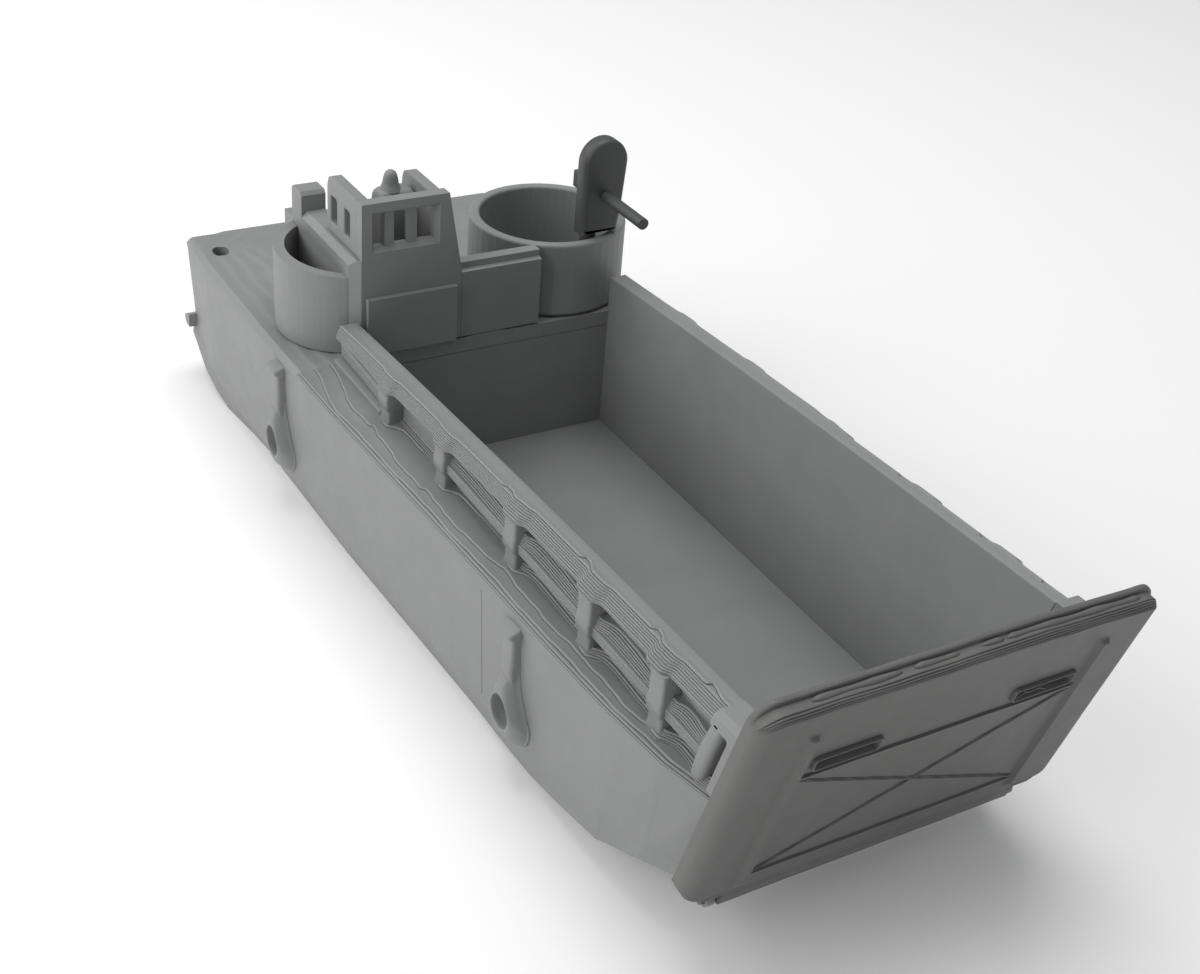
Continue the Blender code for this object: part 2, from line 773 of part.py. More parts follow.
def build_shelter_base():
    """Thicker lower wall to starboard, from the front corner aft to a seat block."""
    low = shelter_low()
    fore = shelter_fore()
    aft, end = SEAT_X
    soft = SEAT_SOFT
    outline = [(BASE_AFT, low), (fore, low), (fore, BASE_TOP), (end, BASE_TOP), (end, SEAT_TOP - soft)]
    outline += [(end - soft, SEAT_TOP), (aft + soft, SEAT_TOP), (aft, SEAT_TOP - soft)]
    outline += [(aft, SEAT_STEP), (BASE_AFT, SEAT_STEP)]
    outer = SHELTER_Y0 - BASE_OUT
    base = prism_y("shelter_base", outline, outer, SHELTER_Y0 + BASE_IN)
    inner = SHELTER_Y0 - GAP
    plan = [(fore - 0.5, inner), (fore - 0.5, outer), (BASE_TURN, outer), (WELL_AFT_X - GAP, inner)]
    join(base, loft("join_base_turn", [[(x, y, z) for x, y in plan] for z in (low, BASE_TOP)]))
    slope = [(outer - 1.0, BASE_TOP - BASE_SLOPE - 1.0), (outer - 1.0, BASE_TOP + 1.0)]
    slope.append((outer + BASE_SLOPE + 1.0, BASE_TOP + 1.0))
    return cut(base, prism_x("cut_base_slope", slope, end + GAP, WELL_AFT_X + 1.0))


def build_console():
    """Steering console inside the shelter with a round compass on top."""
    low = shelter_low()
    inner = CONSOLE_Y
    outer = SHELTER_Y1 - SHELTER_T - 0.1
    wide, deep = CONSOLE_SOFT
    outline = [(inner, low), (outer, low), (outer, CONSOLE_TOP - deep), (outer - wide, CONSOLE_TOP)]
    outline += [(inner + wide, CONSOLE_TOP), (inner, CONSOLE_TOP - deep)]
    console = prism_x("steering_console", outline, CONSOLE_X[0], CONSOLE_X[1])
    place = (COMPASS_X, COMPASS_Y)
    compass = bar_z("join_compass", place, COMPASS_R, CONSOLE_TOP - 0.4, COMPASS_TOP, 20)
    return join(console, compass)


def build_bulkhead():
    """Transverse wall between the shelter and the port tub, with a step."""
    low = shelter_low()
    x1 = WELL_AFT_X
    x0 = x1 - BULK_T
    ledge = x1 - BULK_LEDGE
    outline = [(x0, low), (x1, low), (x1, BULK_STEP), (ledge, BULK_STEP + 0.1), (ledge, BULK_TOP)]
    outline.append((x0, BULK_TOP))
    wall = prism_y("well_bulkhead", outline, FLARE_Y + GAP, BULK_PORT_END)
    keep_clear = loft("cut_bulkhead", tub_cylinder(TUB_R + 2.0 * GAP))
    return cut(wall, keep_clear)


def tub_cylinder(radius):
    """Rings of an upright cylinder round the port tub."""
    ring = circle((TUB_X, TUB_Y), radius, SEGMENTS)
    return [[(x, y, z) for x, y in ring] for z in (DECK_Z - 1.0, TUB_TOP + 1.0)]


def ramp_frame(item):
    """Turn a piece made upright at the origin into the raked bow plane."""
    item.location = (RAMP_FOOT_X * MM, 0.0, RAMP_FOOT_Z * MM)
    item.rotation_euler = (0.0, math.radians(RAKE_DEG), 0.0)
    return item


def ramp_outline():
    """Front outline of the ramp: rounded at the top, notched at the foot for the lugs."""
    half = RAMP_HALF
    top = RAMP_H
    right = [(NOTCH_Y[0], 0.0), (NOTCH_Y[0], NOTCH_UP), (NOTCH_Y[1], NOTCH_UP)]
    right += [(half - RAMP_CUT_IN, RAMP_CUT_UP * 0.8), (half, RAMP_CUT_UP)]
    for k in range(5):
        a = math.radians(22.5 * k)
        y = half - RAMP_ROUND + RAMP_ROUND * math.cos(a)
        right.append((y, top - RAMP_ROUND + RAMP_ROUND * math.sin(a)))
    left = [(-y, z) for y, z in reversed(right)]
    return right + left


def build_ramp_panel():
    """Thick ramp panel with softened front edges and two slots."""
    rings = []
    for back, inset in RAMP_EDGE:
        shrink = (RAMP_HALF - inset) / RAMP_HALF
        lift = (RAMP_H - 2.0 * inset) / RAMP_H
        rings.append([(-back, y * shrink, inset + z * lift) for y, z in ramp_outline()])
    panel = loft("ramp_panel", rings)
    for number, y in enumerate((-SLOT_CENTRE, SLOT_CENTRE)):
        low = (-RAMP_T - 1.0, y - SLOT_HALF, SLOT_LOW)
        high = (1.0, y + SLOT_HALF, SLOT_HIGH)
        cut(panel, ramp_frame(box("cut_ramp_%d" % number, low, high)))
    ramp_frame(panel)
    groove = bar_y("cut_pin_groove", pin_centre(), PIN_R + GAP, -RAMP_HALF - 1.0, RAMP_HALF + 1.0)
    return cut(panel, groove)


def build_ramp_ribs():
    """Two upright ribs and two cross ribs on the ramp's front."""
    for name, y in (("starboard", -RIB_Y), ("port", RIB_Y)):
        low = (GAP, y - RIB_W / 2.0, RIB_LOW)
        high = (RIB_PROUD, y + RIB_W / 2.0, RIB_HIGH)
        ramp_frame(box("ramp_rib_" + name, low, high))
    inside = RIB_Y - RIB_W / 2.0 - GAP
    for name, z in (("low", CROSS_LOW), ("high", CROSS_HIGH)):
        low = (GAP, -inside, z - CROSS_W / 2.0)
        high = (RIB_PROUD, inside, z + CROSS_W / 2.0)
        ramp_frame(box("ramp_cross_" + name, low, high))


def build_slot_frames():
    """Raised rims round the two slots."""
    for name, y in (("starboard", -SLOT_CENTRE), ("port", SLOT_CENTRE)):
        rim = SLOT_FRAME
        low = (GAP, y - SLOT_HALF - rim, SLOT_LOW - rim)
        high = (RIB_PROUD, y + SLOT_HALF + rim, SLOT_HIGH + rim)
        frame = ramp_frame(box("ramp_slot_frame_" + name, low, high))
        inner_low = (-1.0, y - SLOT_HALF, SLOT_LOW)
        inner_high = (2.0, y + SLOT_HALF, SLOT_HIGH)
        cut(frame, ramp_frame(box("cut_frame_" + name, inner_low, inner_high)))


def build_brace():
    """Crossed braces between the two cross ribs, one flat piece."""
    z0 = CROSS_LOW + CROSS_W / 2.0 + GAP
    z1 = CROSS_HIGH - CROSS_W / 2.0 - GAP
    y = RIB_Y - RIB_W / 2.0 - 2.0 * GAP
    w = BRACE_W
    pieces = []
    for name, hand in (("ramp_braces", -1.0), ("join_brace", 1.0)):
        outline = [(-hand * y, z0), (-hand * (y - w * 1.6), z0), (hand * y, z1 - w * 1.1), (hand * y, z1)]
        outline += [(hand * (y - w * 1.6), z1), (-hand * y, z0 + w * 1.1)]
        rings = [[(x, p, q) for p, q in outline] for x in (GAP, RIB_PROUD - 0.1)]
        pieces.append(ramp_frame(loft(name, rings)))
    return join(pieces[0], pieces[1])


def pin_centre():
    """Centre of the hinge pin, let into the lower edge of the ramp."""
    angle = math.radians(RAKE_DEG)
    back = RAMP_T / 2.0
    x = RAMP_FOOT_X - back * math.cos(angle) + PIN_UP * math.sin(angle)
    z = RAMP_FOOT_Z + back * math.sin(angle) + PIN_UP * math.cos(angle)
    return x, z


def build_pin():
    """Hinge pin along the ramp foot, showing past the cut corners."""
    return bar_y("ramp_hinge_pin", pin_centre(), PIN_R, -PIN_HALF, PIN_HALF)


def build_gun():
    """Pintle, receiver, round-topped shield and barrel in the port tub."""
    bar_z("gun_pintle", (GUN_X, GUN_Y), PINTLE_R, shelter_low(), RECEIVER_Z[0] - GAP, 24, DARK_GREY)
    x0, x1 = RECEIVER_X
    low = (x0, GUN_Y - RECEIVER_HALF, RECEIVER_Z[0])
    box("gun_receiver", low, (x1, GUN_Y + RECEIVER_HALF, RECEIVER_Z[1]), DARK_GREY)
    half = SHIELD_HALF
    shoulder = SHIELD_HIGH - half
    foot, waist = SHIELD_FOOT
    outline = [(GUN_Y - half, SHIELD_LOW), (GUN_Y + half * foot, SHIELD_LOW)]
    outline.append((GUN_Y + half * waist, SHIELD_WAIST))
    for k in range(13):
        a = math.pi * k / 12.0
        outline.append((GUN_Y + half * math.cos(a), shoulder + half * math.sin(a)))
    shield = prism_x("gun_shield", outline, x1 + GAP, x1 + GAP + SHIELD_T, DARK_GREY)
    shade_round(shield)
    start = x1 + 2.0 * GAP + SHIELD_T
    bar_x("gun_barrel", (GUN_Y, BARREL_Z), BARREL_R, start, start + BARREL_LONG, 20, DARK_GREY)


def ring_points(x, count):
    """Outline of the hanging ring, a circle drawn up to a narrow neck."""
    neck = STRAP_W / 2.0
    outer = []
    for k in range(count):
        a = 2.0 * math.pi * k / count
        u = RING_R * math.cos(a)
        v = RING_R * math.sin(a)
        if v > 0.0:
            lift = (RING_APEX - RING_Z) / RING_R
            share = (v / RING_R) ** 1.6
            u = u * (1.0 - share) + neck * math.copysign(share, u)
            v = v * (1.0 + (lift - 1.0) * share)
        outer.append((x + u, RING_Z + v))
    return outer


def build_fender(name, place, hand):
    """Hanging ring fender with its strap and the knob at the deck edge."""
    x = FENDER_X[place]
    count = 32
    outer = ring_points(x, count)
    hole = circle((x, RING_Z + RING_HOLE_UP), RING_HOLE, count)
    rings = []
    face = side_at(x, RING_Z) + CHINE_IN + RING_LIFT
    for k in range(count):
        o = outer[k]
        h = hole[k]
        inner = (h[0] * 0.8 + o[0] * 0.2, h[1] * 0.8 + o[1] * 0.2)
        rim = (h[0] * 0.25 + o[0] * 0.75, h[1] * 0.25 + o[1] * 0.75)
        section = ((o, face), (o, face + RING_T * 0.55), (rim, face + RING_T))
        section += ((inner, face + RING_T), (h, face + RING_T * 0.6), (h, face))
        rings.append([(p[0], hand * y, p[1]) for p, y in section])
    ring = hoop(name, rings)
    foot = RING_APEX - 0.6
    low, waist = (face + out for out in STRAP_OUT)
    strap = [(face, foot), (low, foot), (waist, STRAP_TOP - KNOB_EDGE / 2.0), (face, STRAP_TOP)]
    join_slab(ring, "join_strap_" + name, strap, x, STRAP_W, hand)
    out = face + KNOB_OUT
    knob = [(face, STRAP_TOP - 2.0 * KNOB_EDGE), (out, STRAP_TOP - KNOB_EDGE), (out, STRAP_TOP)]
    knob.append((face, STRAP_TOP + KNOB_EDGE))
    return join_slab(ring, "join_knob_" + name, knob, x, KNOB_W, hand)


def join_slab(target, name, outline, x, width, hand):
    """Join a slab with an outline of (out, up) points, centred at x."""
    half = width / 2.0
    return join(target, prism_x(name, [(hand * y, z) for y, z in outline], x - half, x + half))


def build_hull_side(side, hand):
    """Everything on one side of the load well."""
    build_side("hull_side_" + side, hand)
    build_side_deck("side_deck_" + side, hand)
    build_coaming("coaming_wall_" + side, hand)
    build_cap("coaming_cap_" + side, hand)
    for number, x in enumerate(POST_X, 1):
        build_post(side, hand, number, x)
    build_rails(side, hand)
    build_strut("bow_strut_" + side, hand)
    build_bow_frame("bow_frame_" + side, hand)
    build_locker("side_locker_" + side, hand)
    for place in FENDER_X:
        build_fender("fender_%s_%s" % (side, place), place, hand)


def build_ramp():
    """Ramp with everything that turns with it."""
    build_ramp_panel()
    build_ramp_ribs()
    build_slot_frames()
    build_brace()
    build_pin()


def build_all():
    """Build every piece."""
    build_bottom()
    build_stern()
    build_aft_deck()
    build_hull_side("starboard", -1.0)
    build_hull_side("port", 1.0)
    build_tubs()
    build_shelter_front()
    build_shelter_starboard()
    build_shelter_port()
    build_shelter_base()
    build_console()
    build_bulkhead()
    build_ramp()
    build_gun()


clear_scene()
build_all()
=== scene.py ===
"""Looks of a small printed landing craft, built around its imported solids.

The craft is a plastic print, so its sloping surfaces end in thin steps, one
for each printed layer, and its edges are soft. Decks, caps, rails and the
ramp are rebuilt here with those steps. Posts, struts, lockers, fenders, the
steering console and the gun shield are rebuilt with softer forms. The other
solids stay, most of them with rounded edges. Sizes are in millimetres, as
(x to the bow, y outward or to port, z up), and "hand" is -1 to starboard and
+1 to port.
"""

import json
import math

import bmesh
import bpy
import numpy as np
from mathutils import Matrix, Vector

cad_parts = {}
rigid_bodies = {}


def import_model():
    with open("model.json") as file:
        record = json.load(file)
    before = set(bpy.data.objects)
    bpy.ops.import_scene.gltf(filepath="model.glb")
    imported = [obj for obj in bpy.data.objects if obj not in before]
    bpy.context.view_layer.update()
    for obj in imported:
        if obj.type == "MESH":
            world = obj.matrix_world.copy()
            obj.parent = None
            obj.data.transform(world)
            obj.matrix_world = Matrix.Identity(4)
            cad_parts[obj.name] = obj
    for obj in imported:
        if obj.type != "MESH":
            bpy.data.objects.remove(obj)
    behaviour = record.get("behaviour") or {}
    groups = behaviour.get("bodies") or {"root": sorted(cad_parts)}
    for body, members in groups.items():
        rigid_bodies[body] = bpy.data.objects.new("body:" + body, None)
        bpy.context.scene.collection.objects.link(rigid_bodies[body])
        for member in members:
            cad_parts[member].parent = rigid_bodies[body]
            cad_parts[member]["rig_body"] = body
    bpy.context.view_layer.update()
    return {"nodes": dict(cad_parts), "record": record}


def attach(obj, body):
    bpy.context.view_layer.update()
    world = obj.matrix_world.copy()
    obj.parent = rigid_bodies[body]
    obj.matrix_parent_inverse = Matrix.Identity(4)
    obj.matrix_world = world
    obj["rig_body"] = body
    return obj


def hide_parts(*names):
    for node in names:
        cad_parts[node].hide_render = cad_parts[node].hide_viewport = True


MM = 0.001
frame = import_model()

# printed layers, and the section of one step: outward in beads, down in layers, down in beads
LAYER = 0.12
BEAD = 0.24
BEAD_SHARE = 0.8
STEP_NOSE = (
    (-1.0, 0.0, 0.0), (-0.7, 0.0, -0.13), (-0.45, 0.0, -0.13), (-0.13, 0.18, 0.0), (0.0, 0.55, 0.0),
    (-0.05, 0.85, 0.0), (-0.35, 1.0, 0.0), (-0.3, 1.0, 0.28), (0.1, 1.0, 0.0),
)

# plastic: scales of its noises, its nozzle passes, its spread of tone and gloss, and its relief
WANDER_SCALE = 90.0
WANDER_SHARE = 0.6
BLOTCH_SCALE = 240.0
BLOTCH_RANGE = (0.3, 0.72)
GLOSS_SCALE = 900.0
GLOSS_SPREAD = 0.16
GRAIN_SCALE = 5200.0
NOZZLE_PITCH = 0.42
FLAT_TOP = 0.985
TONE_SPREAD = 0.035
LAYER_SHARE = 0.3
PASS_SHARE = 0.35
GRAIN_SHARE = 0.55
RELIEF_DEPTH = 0.02
RELIEF_STRENGTH = 0.35
SPECULAR = 0.42

# hull lines shared with the solids
TRANSOM_X = -46.6
WELL_AFT_X = -17.6
BOW_X = 40.3
LEAN_START = 30.0
RAKE = math.radians(16.5)
DECK_Z = 14.0
DECK_LOW = 13.08
DECK_RISE = 0.5
DECK_FALL_AFT = 6.0
WELL_HALF = 12.0
WALL_OUT = 12.9
BEAM_X = (-46.6, -40.0, -25.0, -11.0, 4.0, 14.2, 24.0, 30.0, 36.0, 40.0)
BEAM_Y = (17.0, 17.5, 17.6, 17.4, 16.8, 16.4, 16.1, 15.8, 15.2, 14.3)
HOLE_AT = (-41.9, -15.3)
HOLE_SIZE = (1.1, 0.72)
HOLE_DEPTH = 3.4

# coaming
POST_X = (-7.4, 2.7, 14.0, 24.4, 33.4)
POST_HALF = 0.9
POST_OUT = 14.4
POST_FOOT_OUT = 14.15
STRUT_BACK = 2.8
STRUT_FORE = 1.55
STRUT_OUT = 14.2
STRUT_X = 38.4
CAP_AFT_Z = 17.6
CAP_BOW_Z = 20.1
CAP_OUT = 14.0
CAP_DEPTH = 1.15
LINING_LOW = 3.4
RAIL_LOW = 15.65
RAIL_TOP = 16.5
RAIL_STEPS_Z = RAIL_TOP - 0.06

# how contours bend at the posts: curl behind a post, bulge over it, and the bays past the ends
CURL_REACH = 0.75
CURL_POWER = 1.3
BULGE_REACH = 0.9
BULGE_START = 0.15
END_BAY = 6.0

# ramp, measured up its own slope
RAMP_FOOT = (39.35, 3.55)
RAMP_H = 21.2
RAMP_HALF = 15.1
RAMP_T = 1.6
RAMP_ROUND = 1.4
RAMP_CUT_UP = 2.6
RAMP_EVEN = (3.0, 18.6)
RAMP_EASE = 0.72
NOTCH_Y = (11.85, 13.15)
NOTCH_UP = 1.15
RIB_Y = 11.0
RIB_LOW = 2.4
RIB_HIGH = 18.2
CROSS_LOW = 3.2
CROSS_HIGH = 13.8
SLOT_CENTRE = 7.55
SLOT_HALF = 2.45
SLOT_LOW = 14.55
SLOT_HIGH = 15.7
PIN_R = 0.36
PIN_UP = 0.15

# fenders
FENDER_X = {"aft": -21.1, "bow": 19.1}
RING_Z = 5.1
RING_R = 2.15
RING_T = 1.25
RING_APEX = 9.8
STRAP_TOP = 13.0
STRAP_HALF = 0.75
RING_HOLE = (1.1, 1.3)
RING_HOLE_UP = 0.85
SEAM_X = 14.2

# steering console: its dome as height and inset, its bulb as height and radius
CONSOLE_X = (-23.4, -21.2)
CONSOLE_Y = (-8.5, -5.2)
CONSOLE_LOW = 14.52
CONSOLE_TOP = 27.0
DOME = (
    (CONSOLE_LOW, 0.0), (25.6, 0.0), (26.3, 0.05), (26.6, 0.14), (26.85, 0.34), (26.97, 0.62),
    (CONSOLE_TOP, 0.95),
)
BULB_AT = (-22.3, -7.15)
BULB = (
    (26.8, 0.95), (27.1, 0.8), (27.4, 0.68), (27.8, 0.62), (28.1, 0.54), (28.33, 0.42), (28.46, 0.24),
    (28.5, 0.05),
)

# gun shield, its edge as a distance forward and an inset
SHIELD_X = -20.18
SHIELD_Y = 11.4
SHIELD_HALF = 2.1
SHIELD_LOW = 21.5
SHIELD_WAIST = 23.7
SHIELD_HIGH = 30.0
SHIELD_FOOT_SHARE = 0.7
SHIELD_WAIST_SHARE = 0.85
SHIELD_EDGE = (
    (0.0, 0.16), (0.04, 0.06), (0.12, 0.0), (1.1, 0.0), (1.26, 0.04), (1.44, 0.14), (1.55, 0.28),
    (1.6, 0.44),
)

# camera, in the frame of the part
LENS = 52.87
SENSOR = 36.0
CAMERA_AT = (102.425, -63.073, 84.086)
CAMERA_RIGHT = (0.49347, 0.86669, 0.07299)
CAMERA_DOWN = (0.49150, -0.20864, -0.84551)
CAMERA_AHEAD = (-0.71757, 0.45311, -0.52894)


# materials


def node(tree, kind, **values):
    """Add a shader node and set its inputs by name."""
    made = tree.nodes.new(kind)
    for key, value in values.items():
        made.inputs[key].default_value = value
    return made


def maths(tree, operation, a, b=None, clamp=False):
    """One arithmetic step between sockets or numbers."""
    made = tree.nodes.new("ShaderNodeMath")
    made.operation = operation
    made.use_clamp = clamp
    for slot, value in enumerate((a, b)):
        if value is None:
            continue
        if isinstance(value, (int, float)):
            made.inputs[slot].default_value = value
        else:
            tree.links.new(value, made.inputs[slot])
    return made.outputs[0]


def layer_lines(tree, place):
    """Height of the printed layers, wavering a little, from the object's own z."""
    split = tree.nodes.new("ShaderNodeSeparateXYZ")
    tree.links.new(place, split.inputs[0])
    wander = node(tree, "ShaderNodeTexNoise", Scale=WANDER_SCALE, Detail=1.0)
    tree.links.new(place, wander.inputs["Vector"])
    shift = maths(tree, "MULTIPLY", wander.outputs["Fac"], WANDER_SHARE * LAYER * MM)
    height = maths(tree, "ADD", split.outputs["Z"], shift)
    turn = maths(tree, "MULTIPLY", height, 2.0 * math.pi / (LAYER * MM))
    return maths(tree, "SINE", turn)


def nozzle_passes(tree, coordinates):
    """Diagonal passes of the nozzle, only where a face points straight up."""
    split = tree.nodes.new("ShaderNodeSeparateXYZ")
    tree.links.new(coordinates.outputs["Object"], split.inputs[0])
    across = maths(tree, "SUBTRACT", split.outputs["X"], split.outputs["Y"])
    turn = maths(tree, "MULTIPLY", across, 2.0 * math.pi / (NOZZLE_PITCH * MM * math.sqrt(2.0)))
    facing = tree.nodes.new("ShaderNodeSeparateXYZ")
    tree.links.new(coordinates.outputs["Normal"], facing.inputs[0])
    upward = maths(tree, "GREATER_THAN", facing.outputs["Z"], FLAT_TOP)
    return maths(tree, "MULTIPLY", maths(tree, "SINE", turn), upward)


def tone_blotches(tree, place, tone, tint):
    """Faint blotches of tone around the plastic's own colour."""
    blotch = node(tree, "ShaderNodeTexNoise", Scale=BLOTCH_SCALE, Detail=4.0, Roughness=0.55)
    tree.links.new(place, blotch.inputs["Vector"])
    ramp = tree.nodes.new("ShaderNodeValToRGB")
    shares = (1.0 - TONE_SPREAD, 1.0 + TONE_SPREAD)
    for stop, position, share in zip(ramp.color_ramp.elements, BLOTCH_RANGE, shares):
        stop.position = position
        stop.color = [tone * share * c for c in tint] + [1.0]
    tree.links.new(blotch.outputs["Fac"], ramp.inputs["Fac"])
    return ramp.outputs["Color"]


def uneven_gloss(tree, place, rough):
    """Roughness that wanders a little around its middle value."""
    gloss = node(tree, "ShaderNodeTexNoise", Scale=GLOSS_SCALE, Detail=2.0)
    tree.links.new(place, gloss.inputs["Vector"])
    wander = maths(tree, "MULTIPLY", gloss.outputs["Fac"], GLOSS_SPREAD)
    return maths(tree, "ADD", wander, rough - GLOSS_SPREAD / 2.0, clamp=True)


def print_relief(tree, coordinates):
    """Bump of the layers, the nozzle passes and the grain."""
    place = coordinates.outputs["Object"]
    grain = node(tree, "ShaderNodeTexNoise", Scale=GRAIN_SCALE, Detail=3.0)
    tree.links.new(place, grain.inputs["Vector"])
    layers = maths(tree, "MULTIPLY", layer_lines(tree, place), LAYER_SHARE)
    passes = maths(tree, "MULTIPLY", nozzle_passes(tree, coordinates), PASS_SHARE)
    relief = maths(tree, "ADD", layers, passes)
    relief = maths(tree, "ADD", relief, maths(tree, "MULTIPLY", grain.outputs["Fac"], GRAIN_SHARE))
    bump = node(tree, "ShaderNodeBump", Strength=RELIEF_STRENGTH, Distance=RELIEF_DEPTH * MM)
    tree.links.new(relief, bump.inputs["Height"])
    return bump.outputs["Normal"]


def print_plastic(name, tone, tint, rough):
    """Matte print plastic with its layers, its nozzle passes and faint blotches."""
    material = bpy.data.materials.new(name)
    material.use_nodes = True
    tree = material.node_tree
    shader = tree.nodes["Principled BSDF"]
    coordinates = tree.nodes.new("ShaderNodeTexCoord")
    place = coordinates.outputs["Object"]
    tree.links.new(tone_blotches(tree, place, tone, tint), shader.inputs["Base Color"])
    tree.links.new(uneven_gloss(tree, place, rough), shader.inputs["Roughness"])
    tree.links.new(print_relief(tree, coordinates), shader.inputs["Normal"])
    shader.inputs["Specular IOR Level"].default_value = SPECULAR
    return material


MATERIALS = {
    "hull": print_plastic("print_hull", 0.27, (0.985, 1.0, 0.992), 0.52),
    # ramp plastic: its tone, well under the hull's, is partly a separately printed, slightly browner
    # plastic and mostly painted shade on a face that leans away from the lamps
    "ramp": print_plastic("print_ramp_with_painted_shade", 0.15, (1.0, 1.0, 0.975), 0.5),
    "fittings": print_plastic("print_fittings", 0.27, (0.985, 1.0, 0.992), 0.52),
    # gun plastic: its very dark tone is partly the gun's dark resin and partly painted shadow of the gunner
    # figure, who is not built here
    "gun": print_plastic("print_gun_with_painted_shadow", 0.078, (0.98, 1.0, 1.02), 0.46),
}


# mesh tools


def shade(mesh, angle=35.0):
    """Smooth shading that keeps the sharp corners."""
    mesh.shade_smooth()
    mesh.set_sharp_from_angle(angle=math.radians(angle))


def piece(name, points, faces, body, slot, angle=35.0):
    """Make one closed mesh from points in millimetres, dressed and riding its body."""
    mesh = bpy.data.meshes.new(name)
    mesh.from_pydata([tuple(c * MM for c in p) for p in points], [], faces)
    edit = bmesh.new()
    edit.from_mesh(mesh)
    bmesh.ops.recalc_face_normals(edit, faces=edit.faces)
    edit.to_mesh(mesh)
    edit.free()
    shade(mesh, angle)
    item = bpy.data.objects.new(name, mesh)
    bpy.context.scene.collection.objects.link(item)
    return dress(item, body, slot)


def dress(item, body, slot):
    """Give a piece its plastic, its slot and its body."""
    item.data.materials.clear()
    item.data.materials.append(MATERIALS[slot])
    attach(item, body)
    return item


def band(rings, closed=False):
    """Quads between neighbouring rings of equal length."""
    count = len(rings[0])
    total = len(rings)
    faces = []
    for r in range(total if closed else total - 1):
        for i in range(count):
            j = (i + 1) % count
            a = r * count
            b = ((r + 1) % total) * count
            faces.append((a + i, a + j, b + j, b + i))
    return faces


def loft(name, rings, body, slot, angle=35.0):
    """Skin a row of rings and close both ends."""
    count = len(rings[0])
    points = [p for ring in rings for p in ring]
    faces = band(rings)
    last = (len(rings) - 1) * count
    faces.append(tuple(range(count)))
    faces.append(tuple(last + i for i in range(count)))
    return piece(name, points, faces, body, slot, angle)


def hoop(name, rings, body, slot, angle):
    """Skin rings that run all the way round an opening."""
    points = [p for ring in rings for p in ring]
    return piece(name, points, band(rings, closed=True), body, slot, angle)


def circle(count):
    """Cosines and sines of even turns round a circle."""
    turns = np.linspace(0.0, 2.0 * math.pi, count, endpoint=False)
    return [(math.cos(a), math.sin(a)) for a in turns]


def smooth_step(t):
    """Ease from 0 to 1."""
    t = min(1.0, max(0.0, t))
    return t * t * (3.0 - 2.0 * t)


def steps_between(start, end, pitch):
    """Even stations between two ends."""
    return np.linspace(start, end, max(2, int(abs(end - start) / pitch) + 1))


# hull lines


def beam_at(x):
    """Half beam at the deck edge."""
    return float(np.interp(x, BEAM_X, BEAM_Y))


def cap_top(x):
    """Height of the coaming top."""
    u = (x - WELL_AFT_X) / (BOW_X - WELL_AFT_X)
    return CAP_AFT_Z + (CAP_BOW_Z - CAP_AFT_Z) * (1.45 * u - 0.45 * u * u)


def lean(x, z, back=0.0):
    """Lean the last stations into the raked bow plane."""
    share = max(0.0, (x - LEAN_START) / (BOW_X - LEAN_START))
    return x + ((z - DECK_Z) * math.tan(RAKE) - back) * share


def bow_plane(z, back):
    """X of the bow plane at a height."""
    return BOW_X + (z - DECK_Z) * math.tan(RAKE) - back


def waver(x, seed, size):
    """Slow wandering of a contour along the hull."""
    return size * (
        0.5 * math.sin(0.61 * x + 1.7 * seed)
        + 0.32 * math.sin(1.37 * x + 2.9 * seed + 0.6)
        + 0.18 * math.sin(3.1 * x + 0.8 * seed * seed)
    )


def bay_place(x):
    """Closeness to the post behind, from 1 to 0, and the share of the bay already passed."""
    marks = (WELL_AFT_X - END_BAY,) + POST_X + (STRUT_X, STRUT_X + END_BAY)
    for start, end in zip(marks[:-1], marks[1:]):
        if start <= x < end:
            past = max(0.0, x - start - POST_HALF)
            near = math.exp(-(past / CURL_REACH) ** CURL_POWER)
            return near, min(1.0, past / (end - start - 2.0 * POST_HALF))
    return 0.0, 0.0


def post_bulge(x):
    """1 across a post and falling to 0 on both sides of it."""
    nearest = min(abs(x - p) for p in POST_X)
    return 1.0 - smooth_step((nearest - POST_HALF + BULGE_START) / BULGE_REACH)


def stairs(edges, z, drop=LAYER):
    """Outline of thin steps that go down outward, each with a round nose over a thin crevice."""
    outline = []
    last = edges[0] - BEAD / BEAD_SHARE
    for y in edges:
        bead = min(BEAD, BEAD_SHARE * (y - last))
        outline += [(y + out * bead, z - down * drop - deep * bead) for out, down, deep in STEP_NOSE]
        last = y
        z -= drop
    return outline


def in_order(edges, low, high, gap):
    """Keep contours apart, between two limits, whatever their bends."""
    kept = []
    count = len(edges)
    for k, y in enumerate(edges):
        y = min(y, high - gap * (count - 1 - k))
        y = max(y, (kept[-1] + gap) if kept else low)
        kept.append(y)
    return kept


# side decks


# contours of the side deck: three at the coaming's foot, one that curls behind the posts,
# one that drifts along the middle, and one near the edge, which all meet the after deck's own
FOOT_LINE = 12.98
FOOT_PITCH = 0.1
FOOT_CURL = 0.95
FOOT_LAG = 0.12
FLARE_START = 12.5
FLARE_RUN = 4.0
CURL_LINE = 13.32
EDGE_LINE = 0.52
MEET_RUN = 7.0
LAYERS_MET = {3: 119.86, 4: 118.86, 5: 117.86}
EDGE_STEPS = (0.26, 0.1)
DRIFT_X = (-17.6, 0.0, 6.0, 14.0, 25.0, 32.0, 35.5, 40.0)
DRIFT_Y = (15.4, 15.65, 15.6, 14.95, 14.75, 14.45, 13.75, 13.4)


def aft_contour(x, level):
    """Place outward where the after deck's smooth height falls through a level."""
    ys = np.linspace(beam_at(x), WALL_OUT, 120)
    heights = [aft_height(x, y) for y in ys]
    return float(np.interp(level, heights, ys))


